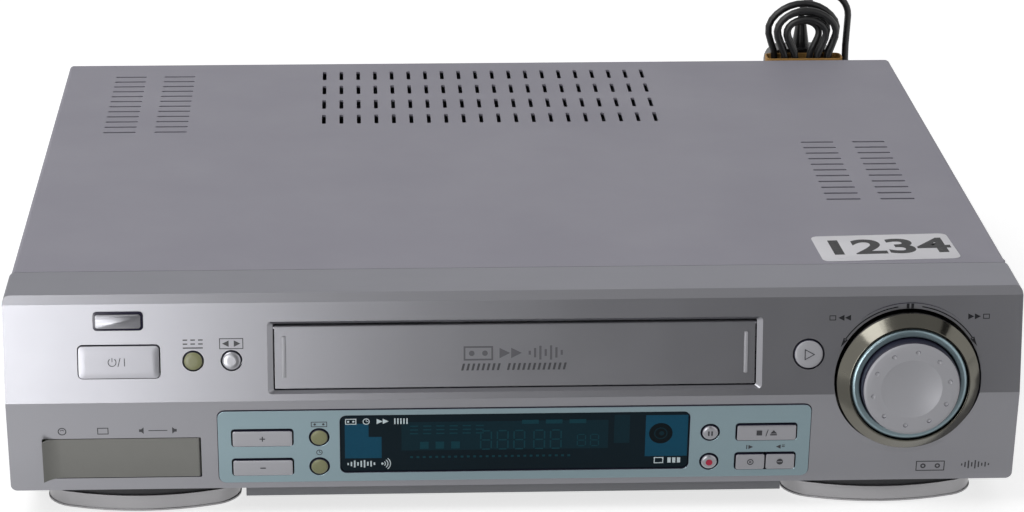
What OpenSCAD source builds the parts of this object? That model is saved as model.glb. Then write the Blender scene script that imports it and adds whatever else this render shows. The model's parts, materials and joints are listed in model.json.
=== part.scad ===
// Video cassette recorder with a jog dial, a cassette door and a mains lead tied in a hank.
// X runs to the right, Y to the back and Z up from the floor, with the origin under the middle.

/* [Body] */
// Width of the front panel
body_w = 400; // [390:1:420]
// Height from the floor to the top of the cover
body_h = 94; // [92:0.5:98]
// Depth from the crease of the front panel to the rear edge of the cover
body_d = 340; // [336:1:360]
// Thickness of the sheet metal
sheet = 1; // [0.8:0.1:1.2]
// How far the cover's side stands in from the front panel's side
cover_step = 0.8; // [0.4:0.1:1.2]
// Height of the cover's lower edge
cover_bottom = 9; // [8.5:0.5:12]
// Height of the underside of the base
base_bottom = 8; // [7:0.5:9]
// Thickness of the base's floor
base_floor = 2.5; // [2:0.1:3]
// Height of the base's side walls above its floor
base_wall_h = 12; // [8:1:20]

/* [Front panel] */
// Thickness of the moulded front
panel_wall = 2.5; // [2.2:0.1:2.8]
// Height of the panel's lower edge
panel_bottom = 12.3; // [11.5:0.1:13]
// Height of the crease where the two faces meet
crease_z = 51.5; // [50:0.5:52.5]
// How far the lower face runs back at its lower edge
lower_back = 5.9; // [5:0.1:6.5]
// Drop from the top to where the upper face meets the shoulder bevel
shoulder_drop = 3; // [2.5:0.5:4]
// How far the upper face leans back at the shoulder
upper_back = 4.16; // [3.5:0.02:4.5]
// Where the shoulder bevel meets the flat top
bevel_back = 7.2; // [6.5:0.1:8]
// Depth of the panel's top and sides
panel_depth = 34.7; // [33:0.1:36]
// Corner radius of the panel seen from the front
panel_corner = 2.5; // [1.5:0.5:4]

/* [Cassette door] */
// Width of the door
door_w = 189; // [188:0.5:190]
// Height of the door along its face
door_h = 25.7; // [25:0.1:26]
// Height of the door's middle
door_z = 68.8; // [68.5:0.1:69]
// Thickness of the door
door_t = 2.4; // [2:0.1:2.6]
// How far the door lies behind the panel's face
door_recess = 1.6; // [1.2:0.1:1.8]
// Width of the bevelled rim beyond the opening at the sides
rim_side = 2.2; // [1.5:0.1:2.6]
// Width of the bevelled rim above and below the opening
rim_end = 1.2; // [0.8:0.1:1.6]
// Height of the grip ribs on the door
rib_h = 16.8; // [12:0.2:20]
// Distance of each grip rib from the middle
rib_x = 90.9; // [85:0.1:92]

/* [Display] */
// Width of the coloured plate round the display
bezel_w = 235; // [232:1:240]
// Height of the coloured plate along its face
bezel_h = 32.8; // [32:0.1:33.5]
// Height of the plate's middle
bezel_z = 31.2; // [31:0.1:31.5]
// How far the plate stands proud of the panel
bezel_proud = 0.6; // [0.3:0.1:1]
// Corner radius of the plate
bezel_corner = 3; // [2:0.5:4]
// Width of the display window
window_w = 138.2; // [130:0.2:140]
// Height of the display window along its face
window_h = 25.8; // [24:0.1:26.5]
// Height of the window's middle
window_z = 31.9; // [31.5:0.1:32.2]
// Corner radius of the window
window_corner = 2.5; // [1.5:0.5:4]
// Width of the glass display tube
tube_w = 124; // [110:1:128]
// Height of the glass display tube
tube_h = 20; // [16:1:22]

/* [Buttons] */
// How far the buttons stand proud of their plate
button_proud = 0.8; // [0.6:0.1:1.4]
// Width of the power button
power_w = 31.5; // [28:0.5:34]
// Height of the power button
power_h = 13; // [11:0.5:14]
// Place of the power button from the middle
power_x = -155.2; // [-158:0.2:-152]
// Height of the upper row of buttons
upper_row_z = 68; // [66:0.2:70]
// Diameter of the two small round buttons of the upper row
small_round_d = 7.6; // [6:0.2:8.4]
// Place of the picture filter button from the middle
filter_x = -126.3; // [-128:0.1:-125]
// Place of the tape speed button from the middle
speed_x = -111.3; // [-112:0.1:-110]
// Diameter of the play button
play_d = 11.7; // [10:0.1:12.4]
// Place of the play button from the middle
play_x = 115.6; // [114:0.1:116]
// Width of the long buttons beside the display
long_w = 23.4; // [20:0.2:24.4]
// Height of the long buttons beside the display
long_h = 6.8; // [5.6:0.1:7.4]
// Distance of the long buttons from the middle
long_x = 99.9; // [99:0.1:100.5]
// Height of the higher row beside the display
high_row_z = 35.3; // [35:0.1:36]
// Height of the lower row beside the display
low_row_z = 22.1; // [21.8:0.1:22.6]
// Distance of the round buttons beside the display from the middle
round_x = 77.5; // [76.5:0.1:78.5]
// Diameter of the round buttons left of the display
left_round_d = 7; // [6:0.2:7.6]
// Diameter of the round buttons right of the display
right_round_d = 6.6; // [6:0.2:7.4]

/* [Dial] */
// Place of the dial from the middle
dial_x = 155.2; // [154:0.2:156]
// Height of the dial's middle
dial_z = 56.9; // [56.5:0.1:57.5]
// Diameter of the trim ring
trim_d = 56.7; // [56:0.1:58]
// How far the trim ring and the shuttle ring stand proud of the crease
ring_proud = 4.6; // [4:0.1:5]
// Width of the trim ring's front edge round the shuttle ring
trim_edge = 0.85; // [0.55:0.05:1.3]
// Diameter of the shuttle ring
shuttle_d = 46.3; // [45.6:0.1:46.5]
// Radial width of the shuttle ring
shuttle_wall = 3.3; // [2.8:0.1:3.4]
// How far the jog dial stands proud of the crease
dial_proud = 9.4; // [8.5:0.1:10.5]
// Gap round the jog dial inside the shuttle ring
jog_gap = 0.45; // [0.35:0.05:0.8]
// Diameter of the hollow in the jog dial
dish_d = 24.1; // [20:0.1:26]
// Depth of the hollow in the jog dial
dish_depth = 2; // [1:0.1:3]
// Number of dimples round the jog dial
dimples = 10; // [6:1:16]
// Distance of the dimples from the jog dial's rim
dimple_in = 4.1; // [3.4:0.1:4.8]

/* [Front sockets] */
// Width of the flap over the front sockets
flap_w = 61.9; // [58:0.1:63]
// Height of the flap along its face
flap_h = 17.6; // [15:0.2:18.4]
// Place of the flap's middle
flap_x = -155.4; // [-157:0.2:-154]
// Height of the flap's middle
flap_z = 26.6; // [26:0.1:27]
// How far the flap's pull lip curls out
flap_lip = 3.6; // [2:0.1:4]
// Length of the flap's pull lip
flap_lip_l = 7; // [5:0.5:10]
// Outer radius of a phono socket's barrel
phono_r = 4.15; // [4:0.05:4.3]
// Bore radius of a phono socket
phono_bore = 1.65; // [1.5:0.05:1.8]

/* [Feet] */
// Width of a front foot
foot_w = 79; // [70:1:84]
// Distance of a front foot's middle from the middle of the recorder
foot_x = 148.4; // [140:0.2:152]
// Distance of a front foot's front edge behind the crease
foot_front = 9.2; // [8.8:0.1:11]
// Radius of the bow in a front foot's front edge
foot_bow = 80; // [70:2:100]
// Radius of a front foot's corners
foot_corner = 9; // [8:0.5:12]
// Place of a front foot's straight back edge behind the crease
foot_back = 51.5; // [48:0.5:56]
// How far a foot pad stands below its foot
pad_drop = 0.6; // [0.4:0.1:1]
// Radius of a rear foot
rear_foot_r = 14; // [10:0.5:18]
// Distance of a rear foot's middle from the rear edge of the cover
rear_foot_in = 40; // [30:1:60]

/* [Vents] */
// Columns of slots in the middle of the cover
slot_columns = 20; // [8:1:22]
// Rows of slots in the middle of the cover
slot_rows = 4; // [2:1:4]
// Spacing of the columns
slot_pitch_x = 8.01; // [7:0.01:9]
// Spacing of the rows
slot_pitch_y = 24.35; // [20:0.05:26]
// Length of a slot
slot_l = 14.5; // [10:0.5:18]
// Width of a slot
slot_w = 1.8; // [1.2:0.1:2.4]
// Place of the rearmost row of slots behind the crease
slot_last_y = 318.7; // [300:0.1:322]
// Length of a side slit
slit_l = 14.8; // [10:0.2:17]
// Width of a side slit
slit_w = 1.9; // [1.2:0.1:2.4]
// Spacing of the side slits
slit_pitch = 8.35; // [7.5:0.05:9]
// Slits in each left column
left_slits = 12; // [4:1:12]
// Slits in each right column
right_slits = 11; // [4:1:11]
// Distance of the inner slit column from the middle
slit_inner_x = 145.2; // [140:0.1:148]
// Distance of the outer slit column from the middle
slit_outer_x = 168.3; // [165:0.1:175]
// Place of the rearmost left slit behind the crease
left_slit_last = 319.2; // [300:0.1:324]
// Place of the rearmost right slit behind the crease
right_slit_last = 202.9; // [190:0.1:220]

/* [Rear] */
// How far the rear panel stands in from the cover's rear edge
rear_inset = 2.2; // [2:0.1:3]
// How far the aerial sockets stand out of the cover's rear edge
aerial_proud = 9; // [7:0.5:11]
// Radius of the aerial input's barrel
aerial_in_r = 4.75; // [4.5:0.05:5]
// Outer radius of the aerial output's shell
aerial_out_r = 5.8; // [5.6:0.05:6]
// Bore radius of the aerial output's shell
aerial_bore = 4.8; // [4.7:0.05:4.9]
// Distance of the aerial sockets from the side of the base
aerial_from_side = 47.2; // [32.2:1:67.2]
// Place of the stacked multi-pin sockets from the middle
scart_x = -66; // [-75:1:-55]
// Width of a multi-pin socket's mouth
scart_w = 46.8; // [46.6:0.1:47]
// Height of a multi-pin socket's mouth
scart_h = 15.2; // [15:0.1:15.4]
// Height of the lower multi-pin socket's middle
scart_low_z = 36; // [34:0.5:38]
// Spacing of the multi-pin sockets
scart_pitch = 25; // [24:0.5:27]
// Place of the output sockets' middle
phono_x = 24; // [10:1:40]
// Spacing of the output sockets
phono_pitch = 14; // [12:0.5:16]
// Height of the lower row of output sockets
phono_z = 34; // [30:0.5:40]
// How far the output sockets stand out of the rear panel
phono_proud = 8; // [6:0.5:9]

/* [Deck] */
// Height of the deck plate's top
deck_z = 28; // [27:0.5:29]
// Width of the deck plate
deck_w = 220; // [216:1:230]
// Front edge of the deck plate behind the crease
deck_front = 36; // [35:1:40]
// Rear edge of the deck plate behind the crease
deck_rear = 300; // [296:1:305]
// Distance of the reels from the middle
reel_x = 46; // [45.5:0.1:46.5]
// Place of the reels behind the crease
reel_y = 150; // [146:1:154]
// Radius of a reel's flange
reel_r = 20; // [18:0.5:21]
// Radius of a reel's spindle
spindle_r = 7; // [6:0.2:8]
// Height of a reel's spindle above the deck
spindle_h = 17; // [14:0.5:19]
// Radius of the head drum
drum_r = 31; // [30.5:0.1:31]
// Place of the head drum behind the crease
drum_y = 254; // [252:0.5:258]
// Lean of the head drum, in degrees
drum_tilt = 5; // [4:0.5:6]
// Height of the fixed lower drum
drum_low_h = 14; // [12:0.5:16]
// Height of the turning upper drum
drum_high_h = 14; // [12:0.5:16]
// Height of the guide posts above the deck
post_h = 29; // [26:0.5:30]

/* [Cassette tray] */
// Distance of the cage's side plates from the middle
cage_x = 98; // [97.5:0.1:98.5]
// Front edge of the cage behind the crease
cage_front = 34; // [33:0.5:35]
// Rear edge of the cage behind the crease
cage_rear = 190; // [186:1:196]
// Drop from the top to the cage's upper edge
cage_below = 8.5; // [7.5:0.1:9]
// Front edge of the tray behind the crease, when it waits at the door
tray_front = 33; // [32.5:0.1:34]
// Length of the tray
tray_l = 93; // [85:1:96]
// Height of the tray's floor
tray_z = 53.5; // [53.2:0.1:54]
// Drop from the cage's upper edge to the tray's top
tray_below = 2; // [1.7:0.1:3]
// How far the tray travels back
tray_travel = 72; // [68:1:74]
// How far the tray then drops
tray_drop = 20; // [16:0.5:20]
// Width of each of the tray's side shelves
shelf_w = 27; // [20:0.5:27]
// Radius of the tray's guide pins
tray_pin_r = 1.5; // [1.2:0.1:1.8]

/* [Mains lead] */
// Diameter of the mains lead
cord_d = 3.4; // [3:0.1:3.6]
// Turns wound in the hank
hank_turns = 5; // [5:1:5]
// Least bend radius in the hank's folds
hank_fold_r = 10.2; // [10.2:0.2:11]
// Spacing of neighbouring turns in the hank
hank_step = 4.4; // [4.4:0.1:4.8]
// Length of the hank's straight runs
hank_run = 72; // [66:1:76]
// Height of the tie round the hank
waist_z = 85; // [80:1:88]
// Width of the plug's body
plug_w = 35; // [33:0.5:36]
// Thickness of the plug's body
plug_t = 13; // [12:0.5:13.5]
// Length of the plug's body
plug_l = 34; // [30:1:36]

/* [Clearances] */
// Gap between pieces that only lie beside each other
gap = 0.3; // [0.2:0.05:0.4]
// Gap round a button in its hole
key_gap = 0.45; // [0.35:0.05:0.5]
// Gap round the door in its opening
door_gap = 0.6; // [0.4:0.1:0.7]
// Gap round the trim ring in the panel
trim_gap = 0.9; // [0.6:0.1:1]
// Radial clearance of a running fit
fit = 0.05; // [0.02:0.01:0.08]
// Radial clearance of a loose pin
pin_fit = 0.1; // [0.06:0.01:0.15]

/* [Hidden] */
$fn = 48;

// Places of the whole body
front_y = (dial_proud - body_d - aerial_proud) / 2;
rear_y = front_y + body_d;
panel_in_x = body_w / 2 - panel_wall;
cover_x = body_w / 2 - cover_step;
base_x = panel_in_x - gap;
floor_z = base_bottom + base_floor;
rear_out_y = rear_y - rear_inset;
aerial_x = aerial_from_side - base_x;
rear_foot_x = base_x - 47.2;
rear_in_y = rear_out_y - sheet;
skirt_y = [8, 10.2];
lip_y = skirt_y[1] + gap;
skirt_x = foot_x - foot_w / 2 - 2;
base_step_y = 24;

// Lean of the panel's two faces, and where their inner sides meet
shoulder_z = body_h - shoulder_drop;
lower_tilt = atan(lower_back / (crease_z - panel_bottom));
upper_tilt = -atan(upper_back / (shoulder_z - crease_z));
lower_inset = panel_wall / cos(lower_tilt);
upper_inset = panel_wall / cos(upper_tilt);
inner_crease_z = crease_z + (lower_inset - upper_inset) / (tan(lower_tilt) - tan(upper_tilt));
inner_crease_y = lower_inset - (inner_crease_z - crease_z) * tan(lower_tilt);

// Buttons: flange behind the plate, and where the stem ends
key_flange = 1;
key_flange_t = 1.2;
key_stem = 3;
key_stem_end = 11;
bezel_rim = 2;
bezel_rim_t = 1.5;

// Dial
trim_bore_r = shuttle_d / 2 + gap;
trim_front_d = shuttle_d + 2 * trim_edge;
jog_d = shuttle_d - 2 * (shuttle_wall + jog_gap);
dimple_ring = jog_d / 2 - dimple_in;
trim_floor_y = 6;
trim_back_y = 9.5;
collar_end_y = 8;
collar_r = trim_d / 2 + trim_gap + 2.2;
boss_r = 8.7;
boss_bore = 14;
jog_stem_r = 3;
encoder_w = 26;
board_y = 20;
board_t = 1.6;

// Deck, tray and slots
deck_t = 1.2;
post_r = 4;
cage_t = 1.2;
slider_t = 1.4;
cage_top = body_h - cage_below;
tray_h = cage_top - tray_below - tray_z;
pin_y = [47, 107];
pin_z = [60, cage_top - 11.5];
tray_wall_x = cage_x - 1;
tray_in_x = tray_wall_x - 1.4;
tray_plate = 1.2;
slider_x = cage_x + cage_t + 0.4;
guide_from = [30, 200];
guide_to = [40, 262];
guide_post_r = 2.5;
guide_angle = atan((guide_to[0] - guide_from[0]) / (guide_to[1] - guide_from[1]));
guide_travel = norm(guide_to - guide_from);
stud_r = 2;
capstan_at = [52, 218];
capstan_r = 1.5;
roller_r = 6.5;
pinch_at = [82, 218];
pinch_swing = 25;
pinch_l = pinch_at[0] - capstan_at[0] - capstan_r - roller_r - gap;
idler_at = [0, 132];
idler_l = 24;
idler_r = 14;
tension_at = [-80, 214];
tension_l = 26;
board_z = 14;
board_x = 92;
board_ends = [60, body_d - 15];
power_side = [deck_w / 2 + 2, base_x - 7.2];
power_ends = [190, body_d - 15];

// Mains lead
cord_r = cord_d / 2;
lead_x = 103;
lead_z = 27;
relief_proud = 12;
hank_at = [161.4, 198];
layer_step = 5.6;
waist_step = 5.2;
waist_in = 2.6;
waist_reach = 22;
loop_rings = 24;
quarter = loop_rings / 6;
run_marks = [0, 0.45, 0.7, 0.86, 1];
plug_y = 214;
tail_fold_z = 105;
sleeve_l = 12;
lead_route = [[103, 180, 27], [103, 184, 27], [104, 190, 27], [108, 195, 26], [115, 198, 24],
    [124, 198, 20], [132, 198, 14], [139, 198, 9], [146, 198, 6], [153, 198, 4], [158, 198, 4]];

// A box between two corners, with Y measured from the crease
module span(x, y, z) {
    translate([x[0], front_y + y[0], z[0]])
        cube([x[1] - x[0], y[1] - y[0], z[1] - z[0]]);
}

// Children placed with Y measured from the crease
module at(x, y, z) {
    translate([x, front_y + y, z]) children();
}

// Children on the panel's lower or upper face, with Y running into the panel
module on_lower(x, z) {
    at(0, 0, crease_z) rotate([lower_tilt, 0, 0])
        translate([x, 0, (z - crease_z) / cos(lower_tilt)]) children();
}
module on_upper(x, z) {
    at(0, 0, crease_z) rotate([upper_tilt, 0, 0])
        translate([x, 0, (z - crease_z) / cos(upper_tilt)]) children();
}

// Corner points of a rounded rectangle about the origin
function rounded(w, h, r) = [for (q = [0:3], i = [0:5])
    let (a = 90 * q + 18 * i, sx = (q == 0 || q == 3) ? 1 : -1, sy = q < 2 ? 1 : -1)
    [sx * (w / 2 - r) + r * cos(a), sy * (h / 2 - r) + r * sin(a)]];

// A flat outline drawn in X and Z, standing at y0 and t thick towards the back
module standing(y0, t) {
    translate([0, y0 + t, 0]) rotate([90, 0, 0]) linear_extrude(t) children();
}
module plate(w, h, r, y0, t) {
    standing(y0, t) polygon(rounded(w, h, r));
}

// A disc or a turned shape whose axis runs to the back
module disc(r, y0, t) {
    translate([0, y0, 0]) rotate([-90, 0, 0]) cylinder(r = r, h = t);
}
module turned(points) {
    rotate([-90, 0, 0]) rotate_extrude() polygon(points);
}

// An outline in Y and Z drawn out along X, with Y measured from the crease
module along_x(x0, x1) {
    translate([x0, front_y, 0]) rotate([90, 0, 90]) linear_extrude(x1 - x0) children();
}

// Everything once on the left and once on the right
module both_sides() {
    children();
    mirror([1, 0, 0]) children();
}

// A rectangular button, and the hole that it slides in
module long_key(w, h, r, seat, proud) {
    plate(w, h, r, -proud, proud + seat + gap);
    plate(w, h + 2 * key_flange, r, seat + gap, key_flange_t);
    plate(key_stem, key_stem, 0.4, seat + gap, key_stem_end - seat - gap);
}
module long_hole(w, h, r) {
    plate(w + 2 * key_gap, h + 2 * key_gap, r + key_gap, -5, 12);
}

// A round button, and the hole that it slides in
module round_key(d, seat, proud) {
    turned([[0, -proud], [d / 2 - 0.8, -proud], [d / 2, -proud + 0.6], [d / 2, seat + gap],
        [d / 2 + key_flange, seat + gap], [d / 2 + key_flange, seat + gap + key_flange_t],
        [key_stem / 2, seat + gap + key_flange_t], [key_stem / 2, key_stem_end],
        [0, key_stem_end]]);
}
module round_hole(d) {
    disc(d / 2 + key_gap, -5, 12);
}

// Slots cut through the cover: boxes long in Y, and slits long in X
module cover_slots() {
    for (c = [0:slot_columns - 1], r = [0:slot_rows - 1])
        at((c - (slot_columns - 1) / 2) * slot_pitch_x, slot_last_y - r * slot_pitch_y, body_h)
            cube([slot_w, slot_l, 4 * sheet], center = true);
    for (x = [slit_inner_x, slit_outer_x]) {
        for (i = [0:left_slits - 1])
            at(-x, left_slit_last - i * slit_pitch, body_h)
                cube([slit_l, slit_w, 4 * sheet], center = true);
        for (i = [0:right_slits - 1])
            at(x, right_slit_last - i * slit_pitch, body_h)
                cube([slit_l, slit_w, 4 * sheet], center = true);
    }
}

// Places of the three screws that hold the cover's rear tabs
tab_in = 59.2;
tab_x = [tab_in - cover_x, 0, cover_x - tab_in];
tab_w = 16;
tab_h = 11;
tab_z = body_h - tab_h / 2;
screw_r = 1.4;
screw_head_r = 3;
screw_head_h = 1.2;

module top_cover() {
    color("#8f8d98") difference() {
        span([-cover_x, cover_x], [panel_depth + gap, body_d], [cover_bottom, body_h]);
        span([-cover_x + sheet, cover_x - sheet], [panel_depth, body_d + 1], [0, body_h - sheet]);
        cover_slots();
    }
    color("#8f8d98") for (x = tab_x) difference() {
        span([x - tab_w / 2, x + tab_w / 2], [body_d - rear_inset, body_d - rear_inset + sheet],
            [body_h - tab_h, body_h - sheet]);
        at(x, 0, tab_z) disc(screw_r + pin_fit, body_d - 10, 20);
    }
}

module cover_screws() {
    color("#3a3a3c") for (x = tab_x) at(x, 0, tab_z) {
        disc(screw_head_r, body_d - rear_inset + sheet, screw_head_h);
        disc(screw_r, body_d - rear_inset - 5, 5 + sheet);
    }
}

// Outline of the front panel from the side, with a wall's thickness left out for the hollow
module panel_side(inner) {
    polygon(inner
        ? [[lower_back + lower_inset, panel_bottom - 1 / tan(90 - lower_tilt)],
            [inner_crease_y, inner_crease_z],
            [upper_back + upper_inset, shoulder_z],
            [upper_back + upper_inset + 0.6, body_h - panel_wall],
            [panel_depth + 1, body_h - panel_wall],
            [panel_depth + 1, 0],
            [lower_back + lower_inset, 0]]
        : [[lower_back, panel_bottom], [0, crease_z], [upper_back, shoulder_z],
            [bevel_back, body_h], [panel_depth, body_h], [panel_depth, panel_bottom]]);
}

// The door's hinge line, measured in the upper face's own frame
hinge_y = door_recess + door_t / 2;
hinge_up = door_h / 2 - door_t / 2;
hinge_pin_r = 0.8;
hinge_pin_l = 2;
opening_w = door_w + 2 * door_gap;
opening_h = door_h + 2 * door_gap;

// The flap's hinge line at its right end, measured in the lower face's own frame
flap_t = panel_wall;
flap_hinge = flap_w / 2 - flap_t / 2;
flap_pin_r = 0.6;
flap_pin_l = 1.6;

module front_panel() {
    color("#b9b8ba") difference() {
        union() {
            difference() {
                intersection() {
                    along_x(-body_w / 2, body_w / 2) panel_side(false);
                    at(0, 0, (body_h + panel_bottom) / 2)
                        plate(body_w, body_h - panel_bottom, panel_corner, -10, panel_depth + 20);
                }
                along_x(-panel_in_x, panel_in_x) panel_side(true);
            }
            at(dial_x, 0, dial_z) disc(collar_r, 3, collar_end_y - 3);
            span([-skirt_x, skirt_x], skirt_y, [base_bottom, panel_bottom + 0.7]);
            on_upper(0, door_z) both_sides()
                translate([opening_w / 2, panel_wall, hinge_up - 3]) cube([3.4, 3, 6]);
        }
        on_upper(0, door_z) {
            plate(opening_w, opening_h, 0.8, -5, 15);
            hull() {
                plate(opening_w, opening_h, 0.8, door_recess, 0.01);
                plate(opening_w + 2 * rim_side, opening_h + 2 * rim_end, 1.6, 0, 0.01);
                plate(opening_w + 2 * rim_side, opening_h + 2 * rim_end, 1.6, -1, 0.01);
            }
            translate([0, hinge_y, hinge_up]) rotate([0, 90, 0])
                cylinder(r = hinge_pin_r + pin_fit, h = door_w + 2 * hinge_pin_l + 0.6,
                    center = true);
        }
        at(dial_x, 0, dial_z) disc(trim_d / 2 + trim_gap, -5, 30);
        on_lower(0, bezel_z) plate(bezel_w + gap, bezel_h + gap, bezel_corner, -5, 12);
        on_lower(flap_x, flap_z) {
            plate(flap_w + 2 * gap, flap_h + 2 * gap, 0.6, -5, 12);
            translate([flap_hinge, flap_t / 2, 0])
                cylinder(r = flap_pin_r + pin_fit, h = flap_h + 2 * flap_pin_l + 0.4,
                    center = true);
        }
        on_upper(power_x, upper_row_z) long_hole(power_w, power_h, 1.5);
        on_upper(filter_x, upper_row_z) round_hole(small_round_d);
        on_upper(speed_x, upper_row_z) round_hole(small_round_d);
        on_upper(play_x, upper_row_z) round_hole(play_d);
    }
}

module display_bezel() {
    color("#8ba3aa") on_lower(0, 0) difference() {
        translate([0, 0, bezel_up]) {
            plate(bezel_w, bezel_h, bezel_corner, -bezel_proud, bezel_proud + panel_wall);
            plate(bezel_w + 2 * bezel_rim, bezel_h + 2 * bezel_rim, bezel_corner, panel_wall,
                bezel_rim_t);
        }
        translate([0, 0, window_up]) plate(window_w + gap, window_h + gap, window_corner, -5, 12);
        for (z = [high_row_up, low_row_up]) {
            for (x = [-long_x, long_x]) translate([x, 0, z]) long_hole(long_w, long_h, 0.8);
            translate([-round_x, 0, z]) round_hole(left_round_d);
            translate([round_x, 0, z]) round_hole(right_round_d);
        }
    }
}

// Heights measured up the lower face from the level that on_lower(0, 0) gives
function up_face(z) = z / cos(lower_tilt);
bezel_up = up_face(bezel_z);
window_up = up_face(window_z);
high_row_up = up_face(high_row_z);
low_row_up = up_face(low_row_z);
bezel_back = panel_wall + bezel_rim_t;

module display_window() {
    color("#0b3a48") on_lower(0, window_z) {
        plate(window_w, window_h, window_corner, 0, bezel_back);
        plate(window_w + 2, window_h + 2, window_corner, bezel_back, 1);
    }
}

module cassette_door() {
    color("#b3b2b4") on_upper(0, door_z) {
        translate([-door_w / 2, 0, 0]) rotate([90, 0, 90]) linear_extrude(door_w)
            polygon(concat([[door_recess, -door_h / 2]],
                [for (i = [0:6]) [hinge_y - door_t / 2 * cos(30 * i),
                    hinge_up + door_t / 2 * sin(30 * i)]],
                [[door_recess + door_t, -door_h / 2]]));
        translate([0, hinge_y, hinge_up]) rotate([0, 90, 0])
            cylinder(r = hinge_pin_r, h = door_w + 2 * hinge_pin_l, center = true);
        for (x = [-rib_x, rib_x])
            translate([x, 0, 0]) plate(1.4, rib_h, 0.5, door_recess - 0.6, 1);
    }
}

module power_button() {
    color("#c2c2c4") on_upper(power_x, upper_row_z)
        long_key(power_w, power_h, 1.5, panel_wall, button_proud);
}
module filter_button() {
    color("#8c8c64") on_upper(filter_x, upper_row_z)
        round_key(small_round_d, panel_wall, button_proud);
}
module speed_button() {
    color("#c2c2c4") on_upper(speed_x, upper_row_z)
        round_key(small_round_d, panel_wall, button_proud);
}
module play_button() {
    color("#c2c2c4") on_upper(play_x, upper_row_z) round_key(play_d, panel_wall, button_proud);
}

// Buttons beside the display stand proud of the coloured plate
plate_proud = bezel_proud + button_proud;
module beside_display(x, z, w) {
    color("#c2c2c4") on_lower(x, z) long_key(w, long_h, 0.8, bezel_back, plate_proud);
}
module channel_up_button() { beside_display(-long_x, high_row_z, long_w); }
module channel_down_button() { beside_display(-long_x, low_row_z, long_w); }
module stop_button() { beside_display(long_x, high_row_z, long_w); }
half_w = long_w / 2 - gap;
module insert_button() { beside_display(long_x - long_w / 4 - gap / 2, low_row_z, half_w); }
module dub_button() { beside_display(long_x + long_w / 4 + gap / 2, low_row_z, half_w); }
module format_button() {
    color("#8c8c64") on_lower(-round_x, high_row_z)
        round_key(left_round_d, bezel_back, plate_proud);
}
module timer_button() {
    color("#8c8c64") on_lower(-round_x, low_row_z)
        round_key(left_round_d, bezel_back, plate_proud);
}
module pause_button() {
    color("#c2c2c4") on_lower(round_x, high_row_z)
        round_key(right_round_d, bezel_back, plate_proud);
}
module record_button() {
    color("#c2c2c4") on_lower(round_x, low_row_z)
        round_key(right_round_d, bezel_back, plate_proud);
}

module dial_trim_ring() {
    color("#5d5a54") at(dial_x, 0, dial_z)
        turned([[trim_d / 2, collar_end_y], [trim_d / 2, -0.5], [trim_front_d / 2, -ring_proud],
            [trim_bore_r, -ring_proud], [trim_bore_r, trim_floor_y], [boss_bore, trim_floor_y],
            [boss_bore, trim_back_y], [collar_r, trim_back_y], [collar_r, collar_end_y]]);
}

module shuttle_ring() {
    r = shuttle_d / 2;
    in_r = r - shuttle_wall;
    color("#8fb0b6") at(dial_x, 0, dial_z)
        turned(concat([[r, 5.5], [r, -ring_proud + 1.5]],
            [for (i = [0:6]) [r - 1.6 + 1.6 * cos(15 * i), -ring_proud + 1.5 - 1.5 * sin(15 * i)]],
            [[in_r, -ring_proud], [in_r, 3], [boss_r + fit, 3], [boss_r + fit, 5.5]]));
}

module jog_dial() {
    r = jog_d / 2;
    dish_r = dish_d / 2;
    color("#c6c5c7") at(dial_x, 0, dial_z) difference() {
        turned(concat([[0, -dial_proud + dish_depth]],
            [for (i = [1:6]) [dish_r * i / 6, -dial_proud + dish_depth * (1 - i * i / 36)]],
            [[r - 1.6, -dial_proud]],
            [for (i = [1:4]) [r - 1.6 + 1.6 * sin(22.5 * i), -dial_proud + 1.6 - 1.6 * cos(22.5 * i)]],
            [[r, 1.5], [jog_stem_r, 1.5], [jog_stem_r, 9], [0, 9]]));
        for (i = [0:dimples - 1]) rotate([0, 360 * i / dimples + 7, 0])
            translate([0, -dial_proud - 0.6, dimple_ring]) sphere(r = 1.1, $fn = 24);
    }
}

module jog_encoder() {
    color("#3c4a3e") at(dial_x, 0, dial_z) difference() {
        union() {
            plate(encoder_w, encoder_w, 1, trim_back_y, board_y - trim_back_y);
            disc(boss_r, 2.3, trim_back_y - 2.3 + 1);
        }
        disc(jog_stem_r + fit, 0, 10);
    }
}

// The flap's outline from above: a flat plate, round at the hinge and curled out at its free end
module socket_flap() {
    left = -flap_w / 2;
    n = 6;
    color("#767672") on_lower(flap_x, flap_z) {
        translate([0, 0, -flap_h / 2]) linear_extrude(flap_h)
            polygon(concat(
                [for (i = [0:n]) [left + flap_lip_l * i / n, -flap_lip * pow(1 - i / n, 2)]],
                [for (i = [0:n]) [flap_hinge + flap_t / 2 * sin(30 * i),
                    flap_t / 2 - flap_t / 2 * cos(30 * i)]],
                [for (i = [n:-1:0]) [left + flap_lip_l * i / n,
                    1.6 + (flap_t - 1.6) * i / n - flap_lip * pow(1 - i / n, 2)]]));
        translate([flap_hinge, flap_t / 2, 0])
            cylinder(r = flap_pin_r, h = flap_h + 2 * flap_pin_l, center = true);
    }
}

// A phono socket whose barrel runs forward from y0 to y1
module phono(y0, y1) {
    difference() {
        disc(phono_r, y0, y1 - y0);
        disc(phono_bore, y0 - 1, 8);
    }
}

socket_back = 12.5;
socket_front = 4.5;
front_phono_x = [-6, 8, 22];
module front_sockets() {
    color("#2b2b2d") on_lower(flap_x, flap_z) {
        difference() {
            plate(flap_w - 2, flap_h - 1.6, 0.5, socket_back, 2.4);
            translate([-22, 0, 0]) disc(4.75, socket_back - 1, 2.4);
        }
        translate([-22, 0, 0]) disc(1.6, socket_back, 1.6);
        for (x = front_phono_x) translate([x, 0, 0]) phono(socket_front, socket_back);
    }
}

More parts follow.
